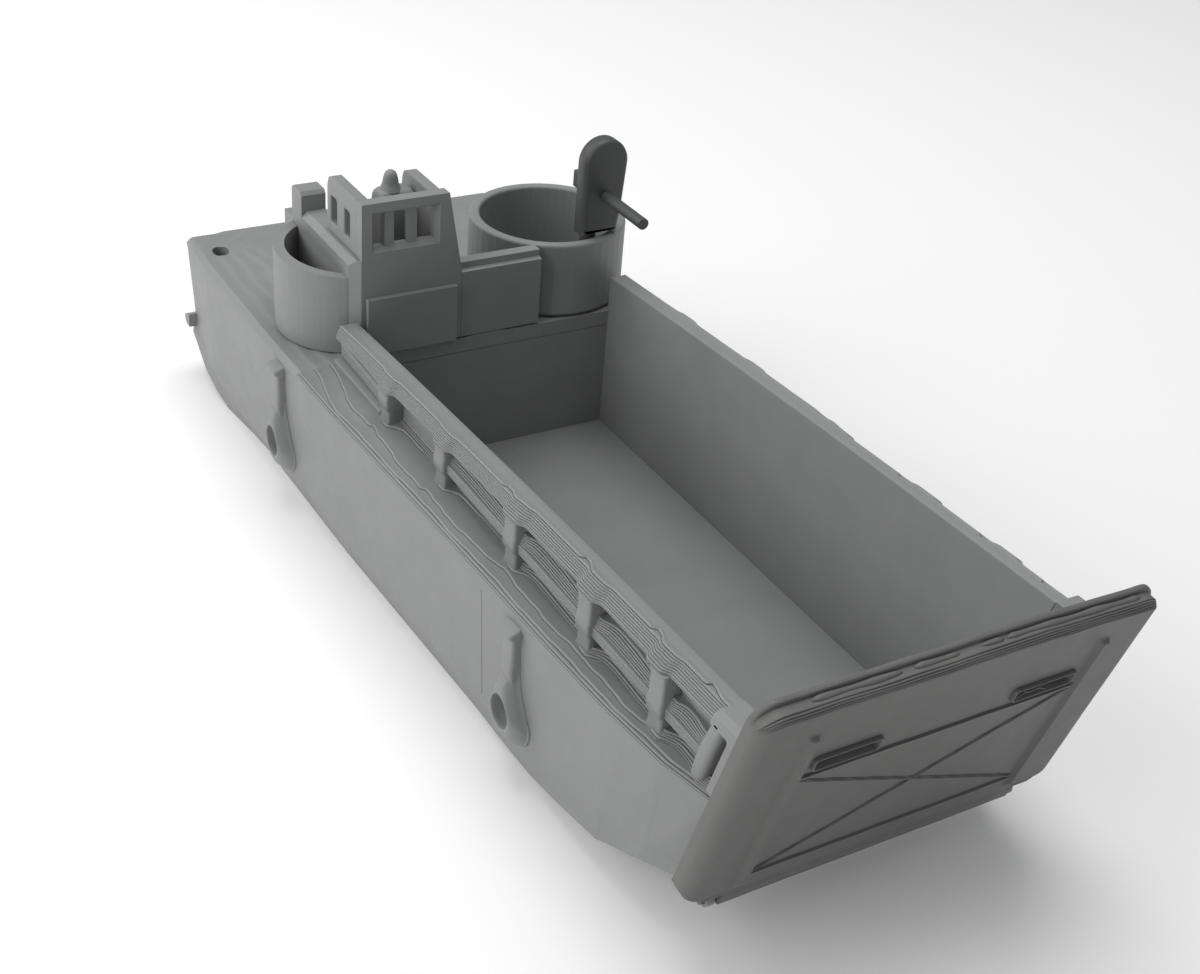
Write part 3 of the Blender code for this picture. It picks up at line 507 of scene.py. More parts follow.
def deck_edges(x):
    """Contours of the side deck at one station, from the coaming outward."""
    near, share = bay_place(x)
    edge = beam_at(x)
    fore = smooth_step((x - FLARE_START) / FLARE_RUN)
    rows = []
    for k in range(3):
        flare = (FOOT_CURL - FOOT_LAG * k) * near + 0.25 * share
        bend = fore * (FOOT_PITCH * k + flare)
        rows.append(FOOT_LINE + FOOT_PITCH * k + bend + waver(x, 3.0 + k, 0.02))
    rows.append(CURL_LINE + 1.05 * near + 0.45 * share * fore + waver(x, 6.0, 0.13))
    middle = float(np.interp(x, DRIFT_X, DRIFT_Y))
    rows.append(middle - 0.25 * near * (1.0 - fore) + waver(x, 1.0, 0.17))
    rows.append(edge - EDGE_LINE + waver(x, 5.0, 0.09))
    meet = 1.0 - smooth_step((x - WELL_AFT_X) / MEET_RUN)
    for k, layer in LAYERS_MET.items():
        rows[k] += (aft_contour(WELL_AFT_X, layer * LAYER) - rows[k]) * meet
    return in_order(rows, WALL_OUT + 0.06, edge - 0.4, 0.085)


def deck_outline(x):
    """Half section of the side deck, stepped on top and rounded at its edge."""
    edge = beam_at(x)
    rows = deck_edges(x)
    floor = DECK_Z + 0.02
    top = floor + LAYER * len(rows)
    inside = WELL_HALF + 0.5
    shelf = DECK_Z + DECK_RISE - 0.02
    outline = [(WELL_HALF, DECK_LOW), (WELL_HALF, shelf), (inside, shelf), (inside, top)]
    outline += stairs(rows, top)
    outline += stairs([edge - inset for inset in EDGE_STEPS], floor, 0.6 * LAYER)
    outline += [(edge - 0.02, floor - 1.8 * LAYER), (edge, floor - 2.4 * LAYER), (edge, DECK_LOW - 0.05)]
    return outline


def make_side_deck(side, hand):
    """Side deck with the contours of its printed layers."""
    rings = []
    for x in steps_between(WELL_AFT_X, BOW_X, 0.3):
        rings.append([(lean(x, z), hand * y, z) for y, z in deck_outline(x)])
    deck = loft("deck_" + side, rings, "hull", "hull", 30.0)
    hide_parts("side_deck_" + side)


# after deck


# share of a layer that is flat, width of the rounded edge and depth of the rounded stern edge
FLAT_SHARE = 0.8
AFT_EDGE = (0.4, 0.35)
STERN_EDGE = (0.45, 0.3)


def aft_height(x, y):
    """Smooth height of the after deck before it is cut into layers."""
    edge = beam_at(x)
    out = min(1.0, (edge - abs(y)) / (edge - WELL_HALF))
    share = min(1.0, (x - TRANSOM_X) / DECK_FALL_AFT)
    swell = 0.05 * math.sin(0.33 * x + 0.5) * math.cos(0.3 * abs(y) + 0.4)
    swell += 0.03 * math.sin(0.9 * x + 0.5 * abs(y))
    return DECK_Z + DECK_RISE * out * share + swell * out


def layered(z):
    """Turn a smooth height into flat layers with short slopes between."""
    whole = math.floor(z / LAYER)
    rest = z / LAYER - whole
    return LAYER * (whole + smooth_step((rest - FLAT_SHARE) / (1.0 - FLAT_SHARE))) - 0.02


def make_aft_deck():
    """After deck with soft contours like wood grain, and its oval hole."""
    rings = []
    for x in steps_between(TRANSOM_X, WELL_AFT_X, 0.24):
        edge = beam_at(x)
        stern = STERN_EDGE[1] * (1.0 - smooth_step((x - TRANSOM_X) / STERN_EDGE[0]))
        ring = []
        for share in np.linspace(-1.0, 1.0, 150):
            y = share * (edge - 0.02)
            drop = AFT_EDGE[1] * (1.0 - smooth_step((edge - abs(y)) / AFT_EDGE[0])) + stern
            ring.append((x, y, min(layered(aft_height(x, y)), DECK_Z + DECK_RISE) - drop))
        ring += [(x, edge, DECK_LOW - 0.05), (x, -edge, DECK_LOW - 0.05)]
        rings.append(ring)
    deck = loft("deck_aft", rings, "hull", "hull", 40.0)
    punch(deck, oval_cutter())
    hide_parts("aft_deck")


def oval_cutter():
    """Upright oval bar that cuts the hole of the deck fitting."""
    rings = []
    for z in (DECK_Z - HOLE_DEPTH, DECK_Z + 2.0):
        ring = []
        for c, s in circle(32):
            ring.append((HOLE_AT[0] + HOLE_SIZE[0] * c, HOLE_AT[1] + HOLE_SIZE[1] * s, z))
        rings.append(ring)
    return loft("cutter", rings, "hull", "hull")


def punch(item, cutter):
    """Cut one mesh out of another and throw the cutter away."""
    for other in (item, cutter):
        other.parent = None
        other.matrix_world = Matrix.Identity(4)
    modifier = item.modifiers.new("punch", "BOOLEAN")
    modifier.operation = "DIFFERENCE"
    modifier.solver = "EXACT"
    modifier.object = cutter
    graph = bpy.context.evaluated_depsgraph_get()
    mesh = bpy.data.meshes.new_from_object(item.evaluated_get(graph))
    item.modifiers.clear()
    item.data = mesh
    bpy.data.objects.remove(cutter)
    shade(mesh)
    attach(item, item["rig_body"])


# coaming


# cap: the contours and the strip that they fill, and the wedge before a post
CAP_LINES = 8
STRIP_IN_X = (WELL_AFT_X, 12.0, 14.5, BOW_X)
STRIP_IN_Y = (13.55, 13.5, 13.14, 13.1)
STRIP_OUT_Y = (CAP_OUT - 0.38, CAP_OUT + 0.02)
WEDGE_FROM = 2.7
WEDGE_TO = 0.6
WEDGE_DEEP = 0.32


def cap_edges(x):
    """Contours of the cap's outer strip, bent out over the posts, with a wedge before each one."""
    inner = float(np.interp(x, STRIP_IN_X, STRIP_IN_Y))
    out = float(np.interp(x, (WELL_AFT_X, POST_X[0]), STRIP_OUT_Y))
    bulge = post_bulge(x)
    rows = []
    for k in range(CAP_LINES):
        share = (k + 0.5) / CAP_LINES
        y = inner + (out - inner) * share
        rows.append(y + bulge * (0.16 + 0.26 * share) + waver(x, 0.6 * k, 0.016))
    fore = smooth_step((x - 9.0) / 4.0)
    for post in POST_X[2:] + (BOW_X,):
        if post - WEDGE_FROM < x < post - WEDGE_TO:
            closing = smooth_step((post - WEDGE_TO - x) / 1.8)
            opening = smooth_step((x - post + WEDGE_FROM) / 0.25)
            rows[0] -= WEDGE_DEEP * fore * closing * opening
    return in_order(rows, WELL_HALF + 0.7, POST_OUT + 0.06, 0.05)


def cap_outline(x):
    """Half section of the cap: thin lining of the well, flat top, stepped strip, lip and underside."""
    top = cap_top(x)
    rows = cap_edges(x)
    last = rows[-1]
    low = top - CAP_DEPTH
    face = WELL_HALF - 0.01
    inside = WELL_HALF + 0.2
    outline = [(inside, LINING_LOW), (face, LINING_LOW), (face, top - 0.12), (face + 0.05, top - 0.03)]
    outline += [(WELL_HALF + 0.14, top), (WELL_HALF + 0.7, top)]
    outline += stairs(rows, top)
    outline += [(last, low + 0.08), (last - 0.1, low), (WALL_OUT - 0.1, low), (inside, low)]
    return outline


def make_cap(side, hand):
    """Coaming cap with its strip of layers."""
    rings = []
    for x in steps_between(WELL_AFT_X - 0.1, BOW_X, 0.22):
        rings.append([(lean(x, z, STRUT_BACK), hand * y, z) for y, z in cap_outline(x)])
    cap = loft("cap_" + side, rings, "hull", "hull", 30.0)
    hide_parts("coaming_cap_" + side)


# rail: the layers that climb to the wall, and the steps down its face
RAIL_LINES = 6
RAIL_LINE_IN = 13.08
RAIL_LINE_PITCH = 0.13
RAIL_FACE = 13.93
FACE_STEPS = 4
FACE_PITCH = 0.19


def rail_outline(x):
    """Half section of a rail: layers that climb to the wall, and a stepped face."""
    near, share = bay_place(x)
    fore = 0.4 + 0.6 * smooth_step((x - 8.0) / 6.0)
    rows = []
    for k in range(RAIL_LINES):
        curl = fore * (0.86 - 0.13 * k) * near
        climb = (0.42 - 0.06 * k) * share * share
        rows.append(RAIL_LINE_IN + RAIL_LINE_PITCH * k + curl + climb + waver(x, 7.0 + k, 0.03))
    rows = in_order(rows, WALL_OUT + 0.08, 13.9, 0.055)
    inside = WALL_OUT - 0.05
    top = RAIL_STEPS_Z + LAYER * len(rows)
    outline = [(inside, RAIL_LOW), (inside, top)]
    outline += stairs(rows, top)
    for k in range(FACE_STEPS):
        z = RAIL_STEPS_Z - FACE_PITCH * k
        outline += [(RAIL_FACE, z), (CAP_OUT + 0.01, z - 0.05), (CAP_OUT + 0.03, z - 0.11)]
        outline.append((RAIL_FACE + 0.02, z - 0.17))
    outline.append((RAIL_FACE - 0.03, RAIL_LOW))
    return outline


def make_rails(side, hand):
    """Middle rails between the posts and up to the strut."""
    for number in range(2, 6):
        start = POST_X[number - 1] + POST_HALF - 0.15
        raked = number == len(POST_X)
        end = STRUT_X if raked else POST_X[number] - POST_HALF + 0.15
        rings = []
        for x in steps_between(start, end, 0.2):
            u = (x - start) / (end - start)
            ring = []
            for y, z in rail_outline(x):
                stop = bow_plane(z, STRUT_BACK - 0.1) if raked else end
                ring.append((start + (stop - start) * u, hand * y, z))
            rings.append(ring)
        rail = loft("rail_soft_%s_%d" % (side, number), rings, "hull", "hull", 30.0)
        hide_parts("rail_%s_%d" % (side, number))


def soft_box_ring(x0, x1, y0, y1, z, corner, count=4):
    """Rectangle with round corners at one height."""
    low_x, high_x = x0 + corner, x1 - corner
    low_y, high_y = y0 + corner, y1 - corner
    centres = ((high_x, high_y), (low_x, high_y), (low_x, low_y), (high_x, low_y))
    ring = []
    for quarter, (cx, cy) in enumerate(centres):
        for k in range(count + 1):
            a = math.pi / 2.0 * (quarter + k / count)
            ring.append((cx + corner * math.cos(a), cy + corner * math.sin(a), z))
    return ring


def make_post(side, hand, number, x):
    """Post with a soft foot and a waist at the rail, its head under the cap."""
    foot = DECK_Z + 0.15
    waist = RAIL_LOW - 0.1
    head = cap_top(x) - CAP_DEPTH + 0.12
    # height, extra half width, and how far the face stands out past the foot
    shape = (
        (foot, 0.06, 0.12), (foot + 0.3, -0.06, 0.04), (foot + 0.7, -0.1, 0.0), (waist - 0.25, -0.1, 0.0),
        (waist - 0.06, -0.08, 0.02), (waist + 0.1, -0.02, 0.2), (RAIL_TOP, -0.02, 0.24),
        (RAIL_TOP + 0.25, -0.06, 0.14), (head - 0.5, -0.06, 0.14), (head - 0.2, 0.0, 0.2),
        (head, 0.04, 0.26),
    )
    rings = []
    for z, wide, out in shape:
        half = POST_HALF + wide
        ring = soft_box_ring(x - half, x + half, WALL_OUT - 0.1, POST_FOOT_OUT + out, z, 0.22)
        rings.append([(px, hand * py, pz) for px, py, pz in ring])
    post = loft("post_soft_%s_%d" % (side, number), rings, "hull", "hull", 50.0)
    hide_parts("post_%s_%d" % (side, number))


def make_strut(side, hand):
    """Rounded raked strut behind the bow frame."""
    low = DECK_Z + 0.1
    high = cap_top(BOW_X) - CAP_DEPTH + 0.3
    rings = []
    for z in steps_between(low, high, 0.35):
        share = (z - low) / (high - low)
        swell = 0.1 * math.sin(math.pi * min(1.0, share * 1.1))
        aft = bow_plane(z, STRUT_BACK + swell)
        fore = bow_plane(z, STRUT_FORE - 0.05)
        ring = soft_box_ring(aft, fore, WALL_OUT - 0.2, STRUT_OUT + swell, z, 0.48, 6)
        rings.append([(px, hand * py, pz) for px, py, pz in ring])
    strut = loft("strut_soft_" + side, rings, "hull", "hull", 50.0)
    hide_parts("bow_strut_" + side)


# side locker: its foot, the face behind it and the two grooves along that face
LOCKER_FOOT = 14.2
LOCKER_FACE = (13.55, 13.84)
LOCKER_GROOVES = (15.3, 15.66)


def locker_outline(x, inset):
    """Half section of the closed box: sill, groove, face with two fine lines, and upper ledge."""
    high = cap_top(x) - CAP_DEPTH + 0.05
    out = float(np.interp(x, (WELL_AFT_X, POST_X[0]), LOCKER_FACE)) - inset
    foot = LOCKER_FOOT - inset
    inside = WALL_OUT - 0.1
    low = DECK_Z + 0.1
    outline = [(inside, low), (foot, low), (foot, 14.66), (foot - 0.06, 14.74), (foot - 0.3, 14.8)]
    outline += [(out - 0.22, 14.84), (out - 0.22, 14.98), (out - 0.02, 15.08)]
    for z in LOCKER_GROOVES:
        outline += [(out, z), (out - 0.07, z + 0.03), (out - 0.07, z + 0.07), (out, z + 0.1)]
    outline += [(out, 16.1), (out - 0.05, 16.2), (out - 0.16, 16.24), (out - 0.16, 16.38)]
    outline += [(out - 0.02, 16.46), (out, high), (inside, high)]
    return outline


def make_locker(side, hand):
    """Closed box of the first bay, its aft edge drawn in a little."""
    x0 = WELL_AFT_X + 0.02
    x1 = POST_X[0] - POST_HALF + 0.1
    rings = []
    for x in (x0, x0 + 0.12, *steps_between(x0 + 0.4, x1 - 0.4, 1.2), x1):
        inset = 0.14 if x == x0 else 0.0
        rings.append([(x, hand * y, z) for y, z in locker_outline(x, inset)])
    locker = loft("locker_soft_" + side, rings, "hull", "hull", 30.0)
    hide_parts("side_locker_" + side)


# fenders


def side_face(x, z):
    """Outer face of the hull side behind a fender."""
    return beam_at(x) - 0.5 + 0.5 * (z - 3.0) / (DECK_Z - 3.0)


# section of the ring: how far out from the hull side, and the share from its hole to its outline
RING_SECTION = (
    (0.0, 1.06), (0.09, 1.06), (0.15, 1.03), (0.18, 0.96), (0.4, 0.88), (0.62, 0.74), (0.82, 0.55),
    (0.93, 0.42), (0.97, 0.34), (1.01, 0.26), (1.03, 0.16), (1.0, 0.06), (0.88, 0.02),
)
HOLE_STEPS = 4
RING_COUNT = 72


def drop_outline(x):
    """Outline of the hanging ring, drawn up to a narrow neck."""
    outline = []
    for c, s in circle(RING_COUNT):
        u = RING_R * c
        v = RING_R * s
        if v > 0.0:
            tall = (RING_APEX - RING_Z) / RING_R
            share = (v / RING_R) ** 1.6
            u = u * (1.0 - share) + STRAP_HALF * math.copysign(share, u)
            v = v * (1.0 + (tall - 1.0) * share)
        outline.append((x + u, RING_Z + v))
    return outline


def make_fender(side, hand, place):
    """Ring fender with a raised rim and a stepped hole, hung from a strap and a knob."""
    x = FENDER_X[place]
    section = list(RING_SECTION)
    for k in range(HOLE_STEPS):
        section += [(0.72 - 0.2 * k, 0.02 - 0.05 * k), (0.62 - 0.2 * k, 0.01 - 0.05 * k)]
    section.append((0.0, -0.2))
    rings = []
    for (ox, oz), (c, s) in zip(drop_outline(x), circle(RING_COUNT)):
        hx = x + RING_HOLE[0] * c
        hz = RING_Z + RING_HOLE_UP + RING_HOLE[1] * s
        ring = []
        for rise, share in section:
            px = hx + (ox - hx) * share
            pz = hz + (oz - hz) * share
            ring.append((px, hand * (side_face(px, pz) - 0.05 + (RING_T + 0.05) * rise), pz))
        rings.append(ring)
    fender = hoop("ring_soft_%s_%s" % (side, place), rings, "hull", "fittings", 38.0)
    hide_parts("fender_%s_%s" % (side, place))
    make_strap(side, hand, place, x)


def make_strap(side, hand, place, x):
    """Strap from the ring up to a flat knob with an overhanging lip under the deck edge."""
    # height, extra half width, and how far it stands out from the hull side
    shape = (
        (RING_APEX - 1.6, 0.1, 0.5), (RING_APEX - 1.0, 0.0, 0.8), (RING_APEX - 0.2, 0.0, 0.8),
        (RING_APEX + 0.5, 0.0, 0.7), (STRAP_TOP - 0.9, 0.0, 0.62), (STRAP_TOP - 0.62, 0.04, 0.64),
        (STRAP_TOP - 0.5, 0.16, 0.8), (STRAP_TOP - 0.38, 0.3, 0.95), (STRAP_TOP - 0.2, 0.32, 1.0),
        (STRAP_TOP - 0.04, 0.3, 0.96), (STRAP_TOP + 0.05, 0.22, 0.82), (STRAP_TOP + 0.16, 0.18, 0.5),
        (STRAP_TOP + 0.3, 0.1, 0.1),
    )
    rings = []
    for z, wide, out in shape:
        face = side_face(x, z)
        half = STRAP_HALF + wide
        ring = soft_box_ring(x - half, x + half, face - 0.4, face + out, z, 0.26, 6)
        rings.append([(px, hand * py, pz) for px, py, pz in ring])
    loft("strap_%s_%s" % (side, place), rings, "hull", "fittings", 50.0)


# half width and rise of the seam
SEAM_SECTION = ((-0.1, -0.05), (-0.06, 0.03), (0.0, 0.05), (0.06, 0.03), (0.1, -0.05))


def make_seam(side, hand):
    """Faint upright seam on the hull side."""
    rings = []
    for z in steps_between(3.6, DECK_LOW + 0.3, 0.8):
        face = side_face(SEAM_X, z)
        rings.append([(SEAM_X + dx, hand * (face + dy), z) for dx, dy in SEAM_SECTION])
    loft("seam_" + side, rings, "hull", "hull", 70.0)


# ramp


def ramp_place(back, y, u):
    """Point of the ramp from its depth behind the front face and its height up the slope."""
    x = RAMP_FOOT[0] - back * math.cos(RAKE) + u * math.sin(RAKE)
    z = RAMP_FOOT[1] + back * math.sin(RAKE) + u * math.cos(RAKE)
    return (x, y, z)


def ramp_low(y):
    """Lower edge of the ramp at one column: whole, notched for a lug, then cut upward."""
    a = abs(y)
    if a < NOTCH_Y[0]:
        return 0.0
    return float(np.interp(a, (NOTCH_Y[1], 14.75, RAMP_HALF), (NOTCH_UP, 2.1, RAMP_CUT_UP)))


def ramp_top(y):
    """Upper edge of the ramp at one column, rounded at both corners."""
    over = abs(y) - (RAMP_HALF - RAMP_ROUND)
    if over <= 0.0:
        return RAMP_H
    return RAMP_H - RAMP_ROUND + math.sqrt(max(0.0, RAMP_ROUND ** 2 - over ** 2))


def ridge(distance, half, soft):
    """Rounded ridge from a distance to its middle line."""
    return 1.0 - smooth_step((abs(distance) - half + soft) / soft)


def lip(d, half, fall):
    """Ridge across a slope: steep on its upper side and fading away below."""
    if d > half:
        return 1.0 - smooth_step((d - half) / 0.07)
    return 1.0 - smooth_step((half - d - 0.5 * half) / fall)


def crease(d, half):
    """Thin crevice that runs just above a ridge."""
    return ridge(d - half - 0.08, 0.055, 0.045)


# ramp relief: its upright ribs, its cross ribs as place, rise and fade, its braces, and the faint
# grooves below the lower cross rib as distance below it, depth, half width and softness
RIB_RISE = 0.34
RIB_HALF = 0.5
CROSS_RIBS = ((CROSS_LOW, 0.15, 0.4), (CROSS_HIGH, 0.17, 0.45))
CROSS_HALF = 0.16
CROSS_CREVICE = 0.13
BRACE_HALF = 0.1
BRACE_RISE = 0.13
BRACE_FALL = 0.22
BRACE_CREVICE = 0.07
FOOT_GROOVES = ((1.55, 0.05, 0.08, 0.06), (2.0, 0.04, 0.07, 0.05))


def rib_relief(y, u):
    """Two upright ribs, each with a short slope over its head and a steeper port side."""
    relief = 0.0
    for centre in (-RIB_Y, RIB_Y):
        foot = smooth_step((u - RIB_LOW + 0.5) / 0.8)
        head = 1.0 - smooth_step((u - RIB_HIGH + 0.1) / 0.4)
        across = y - centre
        width = ridge(across, RIB_HALF, 0.4) if across < 0.0 else ridge(across, RIB_HALF - 0.06, 0.14)
        relief = max(relief, RIB_RISE * width * foot * head)
    return relief


def cross_relief(y, u):
    """Cross ribs and crossed braces, each with a thin crevice above its steep upper side."""
    inside = smooth_step((RIB_Y - 0.3 - abs(y)) / 0.3)
    if inside == 0.0:
        return 0.0
    relief = 0.0
    groove = 0.0
    for centre, rise, fall in CROSS_RIBS:
        relief = max(relief, rise * lip(u - centre, CROSS_HALF, fall))
        groove = max(groove, CROSS_CREVICE * crease(u - centre, CROSS_HALF))
    slope = (CROSS_HIGH - CROSS_LOW) / (2.0 * RIB_Y)
    middle = (CROSS_HIGH + CROSS_LOW) / 2.0
    if CROSS_LOW < u < CROSS_HIGH - 0.2:
        for hand in (-1.0, 1.0):
            d = (u - middle - hand * slope * y) / math.sqrt(1.0 + slope * slope)
            relief = max(relief, BRACE_RISE * lip(d, BRACE_HALF, BRACE_FALL))
            groove = max(groove, BRACE_CREVICE * crease(d, BRACE_HALF))
    groove *= 1.0 - smooth_step((relief - 0.1) / 0.1)
    return (relief - groove) * inside


# section of a slot's rim: outward from the middle of its wall, and depth behind the front plane
RIM_SECTION = (
    (0.12, 0.06), (0.11, -0.2), (0.06, -0.28), (0.0, -0.28), (-0.06, -0.2), (-0.08, RAMP_T - 0.3),
)
RIM_INSET = 0.06


def make_rim(side, centre):
    """Thin raised rim round a slot, with soft corners."""
    middle = (SLOT_LOW + SLOT_HIGH) / 2.0
    rings = []
    for out, back in RIM_SECTION:
        half_y = SLOT_HALF - RIM_INSET + out
        half_u = (SLOT_HIGH - SLOT_LOW) / 2.0 - RIM_INSET + out
        outline = soft_box_ring(-half_y, half_y, -half_u, half_u, back, 0.22 + 0.5 * out, 5)
        rings.append([ramp_place(depth, centre + y, middle + u) for y, u, depth in outline])
    hoop("slot_rim_" + side, rings, "ramp", "ramp", 40.0)


def crest(y):
    """Height of the ramp's rear bead at one column, a little worn toward port."""
    flat = smooth_step((RAMP_HALF - 0.5 - abs(y)) / 1.6)
    slow = 0.03 * math.sin(0.41 * y) + 0.02 * math.sin(1.3 * y + 1.0)
    return ramp_top(y) - 0.1 - 0.3 * smooth_step((y - 2.0) / 14.0) + slow * flat


def front_back(y, u):
    """Depth of the ramp's front surface behind its front plane, negative where it stands proud."""
    back = 0.0
    for gap, radius in ((RAMP_HALF - abs(y), 1.0), (u - ramp_low(y) + 0.03, 0.3)):
        if gap < radius:
            back += radius - math.sqrt(max(0.0, radius ** 2 - (radius - gap) ** 2))
    relief = rib_relief(y, u)
    cross = cross_relief(y, u)
    relief = relief + cross if relief < 0.05 else max(relief, cross)
    for below, depth, half, soft in FOOT_GROOVES:
        relief -= depth * ridge(u - CROSS_LOW + below, half, soft)
    dent = 0.008 * math.sin(0.7 * y + 0.4 * u) + 0.005 * math.sin(1.9 * y - 0.8 * u)
    return min(back, RAMP_T - 0.6) - relief + dent


# ramp top: the steps that ease back, the depth of the shelf behind them, and the section over the
# shelf, as a share of what is left of the thickness and a height from the crest
EASE_STEPS = 6
EASE_POWER = 2.2
SHELF_BACK = 0.62
SHELF_DROP = 0.2
TROUGH = ((0.1, -0.26), (0.3, -0.3), (0.48, -0.28))
REAR_BEAD = ((0.52, -0.12), (0.58, -0.03), (0.68, 0.0), (0.85, 0.0), (0.95, -0.06), (1.0, -0.2))


def top_points(y):
    """Outline over the ramp's top: layers that ease back, a shallow trough and the rear bead."""
    high = crest(y)
    start = high - RAMP_EASE
    face = front_back(y, start)
    shelf = max(face + 0.1, SHELF_BACK)
    fan = 1.0 + 0.5 * smooth_step((y + 4.0) / 16.0)
    rise = (RAMP_EASE - SHELF_DROP) / EASE_STEPS
    eases = [face + (shelf - face) * (k / EASE_STEPS) ** (EASE_POWER / fan) for k in range(EASE_STEPS + 1)]
    points = []
    for k, (back, ahead) in enumerate(zip(eases[:-1], eases[1:])):
        u = start + rise * (k + 1.0) + 0.02 * math.sin(0.8 * y + k)
        points += [(back - 0.02, u - 0.6 * rise), (back, u - 0.15 * rise), (back + 0.3 * (ahead - back), u)]
        points.append((ahead, u - 0.3 * rise))
    left = RAMP_T - shelf
    points += [(shelf + left * share, high + down) for share, down in TROUGH + REAR_BEAD]
    return points


# columns across the ramp: even ones, then the ones on its round sides
COLUMNS_TO = 13.9
COLUMN_COUNT = 222
SIDE_FROM = 13.95
SIDE_RUN = 1.145
SIDE_COUNT = 12

# rows up the ramp as start, end and pitch, fine at the ribs and braces, with those of both ends
ROW_PITCHES = (
    (RAMP_EVEN[0], 3.8, 0.045), (3.8, 13.6, 0.065), (13.6, 14.3, 0.045), (14.3, 17.9, 0.16),
    (17.9, RAMP_EVEN[1], 0.06),
)
FOOT_ROWS = 30
HEAD_ROWS = 14


def ramp_columns():
    """Positions across the ramp, closer together at its round sides and at the notches."""
    inner = set(np.linspace(-COLUMNS_TO, COLUMNS_TO, COLUMN_COUNT).round(4))
    for y in NOTCH_Y:
        inner |= {y - 0.001, y + 0.001, -y - 0.001, 0.001 - y}
    inner = sorted(inner)
    turns = [math.pi / 2.0 * k / SIDE_COUNT for k in range(1, SIDE_COUNT + 1)]
    outer = [SIDE_FROM + SIDE_RUN * math.sin(a) for a in turns]
    return [-y for y in reversed(outer)] + inner + outer


def ramp_rows(y):
    """Heights down one column: closer at the ribs, fitted to both ends."""
    low, high = RAMP_EVEN
    foot = ramp_low(y)
    head = crest(y) - RAMP_EASE
    lower = [foot + (low - foot) * k / FOOT_ROWS for k in range(FOOT_ROWS)]
    middle = []
    for start, end, pitch in ROW_PITCHES:
        middle += list(np.arange(start, end - 0.5 * pitch, pitch))
    upper = [high + (head - high) * k / HEAD_ROWS for k in range(HEAD_ROWS + 1)]
    return lower + middle + upper


def make_ramp():
    """Ramp panel with soft ribs, slots, a layered top edge and a notched foot."""
    rings = []
    for y in ramp_columns():
        ring = [ramp_place(front_back(y, u), y, u) for u in ramp_rows(y)]
        ring += [ramp_place(back, y, u) for back, u in top_points(y)]
        foot = ramp_low(y)
        high = ramp_top(y) - 1.2
        ring += [ramp_place(RAMP_T, y, foot + (high - foot) * (1.0 - k / 6.0)) for k in range(7)]
        rings.append(ring)
    panel = loft("ramp_soft", rings, "ramp", "ramp", 50.0)
    for side, centre in (("starboard", -SLOT_CENTRE), ("port", SLOT_CENTRE)):
        punch(panel, slot_cutter(centre))
        make_rim(side, centre)
    punch(panel, groove_cutter())
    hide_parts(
        "ramp_panel", "ramp_rib_port", "ramp_rib_starboard", "ramp_cross_low",
        "ramp_cross_high", "ramp_braces", "ramp_slot_frame_port", "ramp_slot_frame_starboard",
    )


# broken strands that lie in the trough of the ramp's top
STRANDS = ((-11.6, -5.2), (-4.4, -1.0), (0.6, 2.3), (2.5, 13.4))
STRAND_R = 0.17
STRAND_FLAT = 1.25
STRAND_TAPER = 0.5
STRAND_BACK = 0.85
STRAND_SUNK = 0.28


def make_strands():
    """Uneven strands along the top of the ramp, thin at their ends."""
    for number, (start, end) in enumerate(STRANDS, 1):
        rings = []
        for y in steps_between(start, end, 0.12):
            near = min(y - start, end - y)
            taper = math.sqrt(max(0.02, min(1.0, near / STRAND_TAPER)))
            r = (STRAND_R + 0.03 * math.sin(1.7 * y + number)) * taper
            u = crest(y) - STRAND_SUNK + 0.02 * math.sin(0.9 * y)
            flat = STRAND_FLAT * r
            rings.append([ramp_place(STRAND_BACK + flat * c, y, u + r * s) for c, s in circle(14)])
        loft("strand_%d" % number, rings, "ramp", "ramp", 60.0)


def slot_cutter(centre):
    """Bar through the ramp with the outline of a slot."""
    corners = ((-1, SLOT_LOW), (1, SLOT_LOW), (1, SLOT_HIGH), (-1, SLOT_HIGH))
    rings = []
    for back in (-1.5, RAMP_T + 1.0):
        rings.append([ramp_place(back, centre + side * (SLOT_HALF - 0.02), u) for side, u in corners])
    return loft("cutter", rings, "ramp", "ramp")


def groove_cutter():
    """Round bar along the foot of the ramp, where the pin lies."""
    middle = ramp_place(RAMP_T / 2.0, 0.0, PIN_UP)
    r = PIN_R + 0.02
    rings = []
    for y in (-RAMP_HALF - 1.0, RAMP_HALF + 1.0):
        rings.append([(middle[0] + r * c, y, middle[2] + r * s) for c, s in circle(24)])
    return loft("cutter", rings, "ramp", "ramp")


# places across and up the ramp that each thread passes, its radius and its depth
HAIRS = (
    ((5.2, 15.0), (5.7, 15.5), (6.5, 15.25), (7.2, 15.75)),
    ((5.5, 15.65), (6.2, 15.2), (6.8, 15.55), (7.5, 15.1)),
)
HAIR_R = 0.035
HAIR_BACK = -0.3


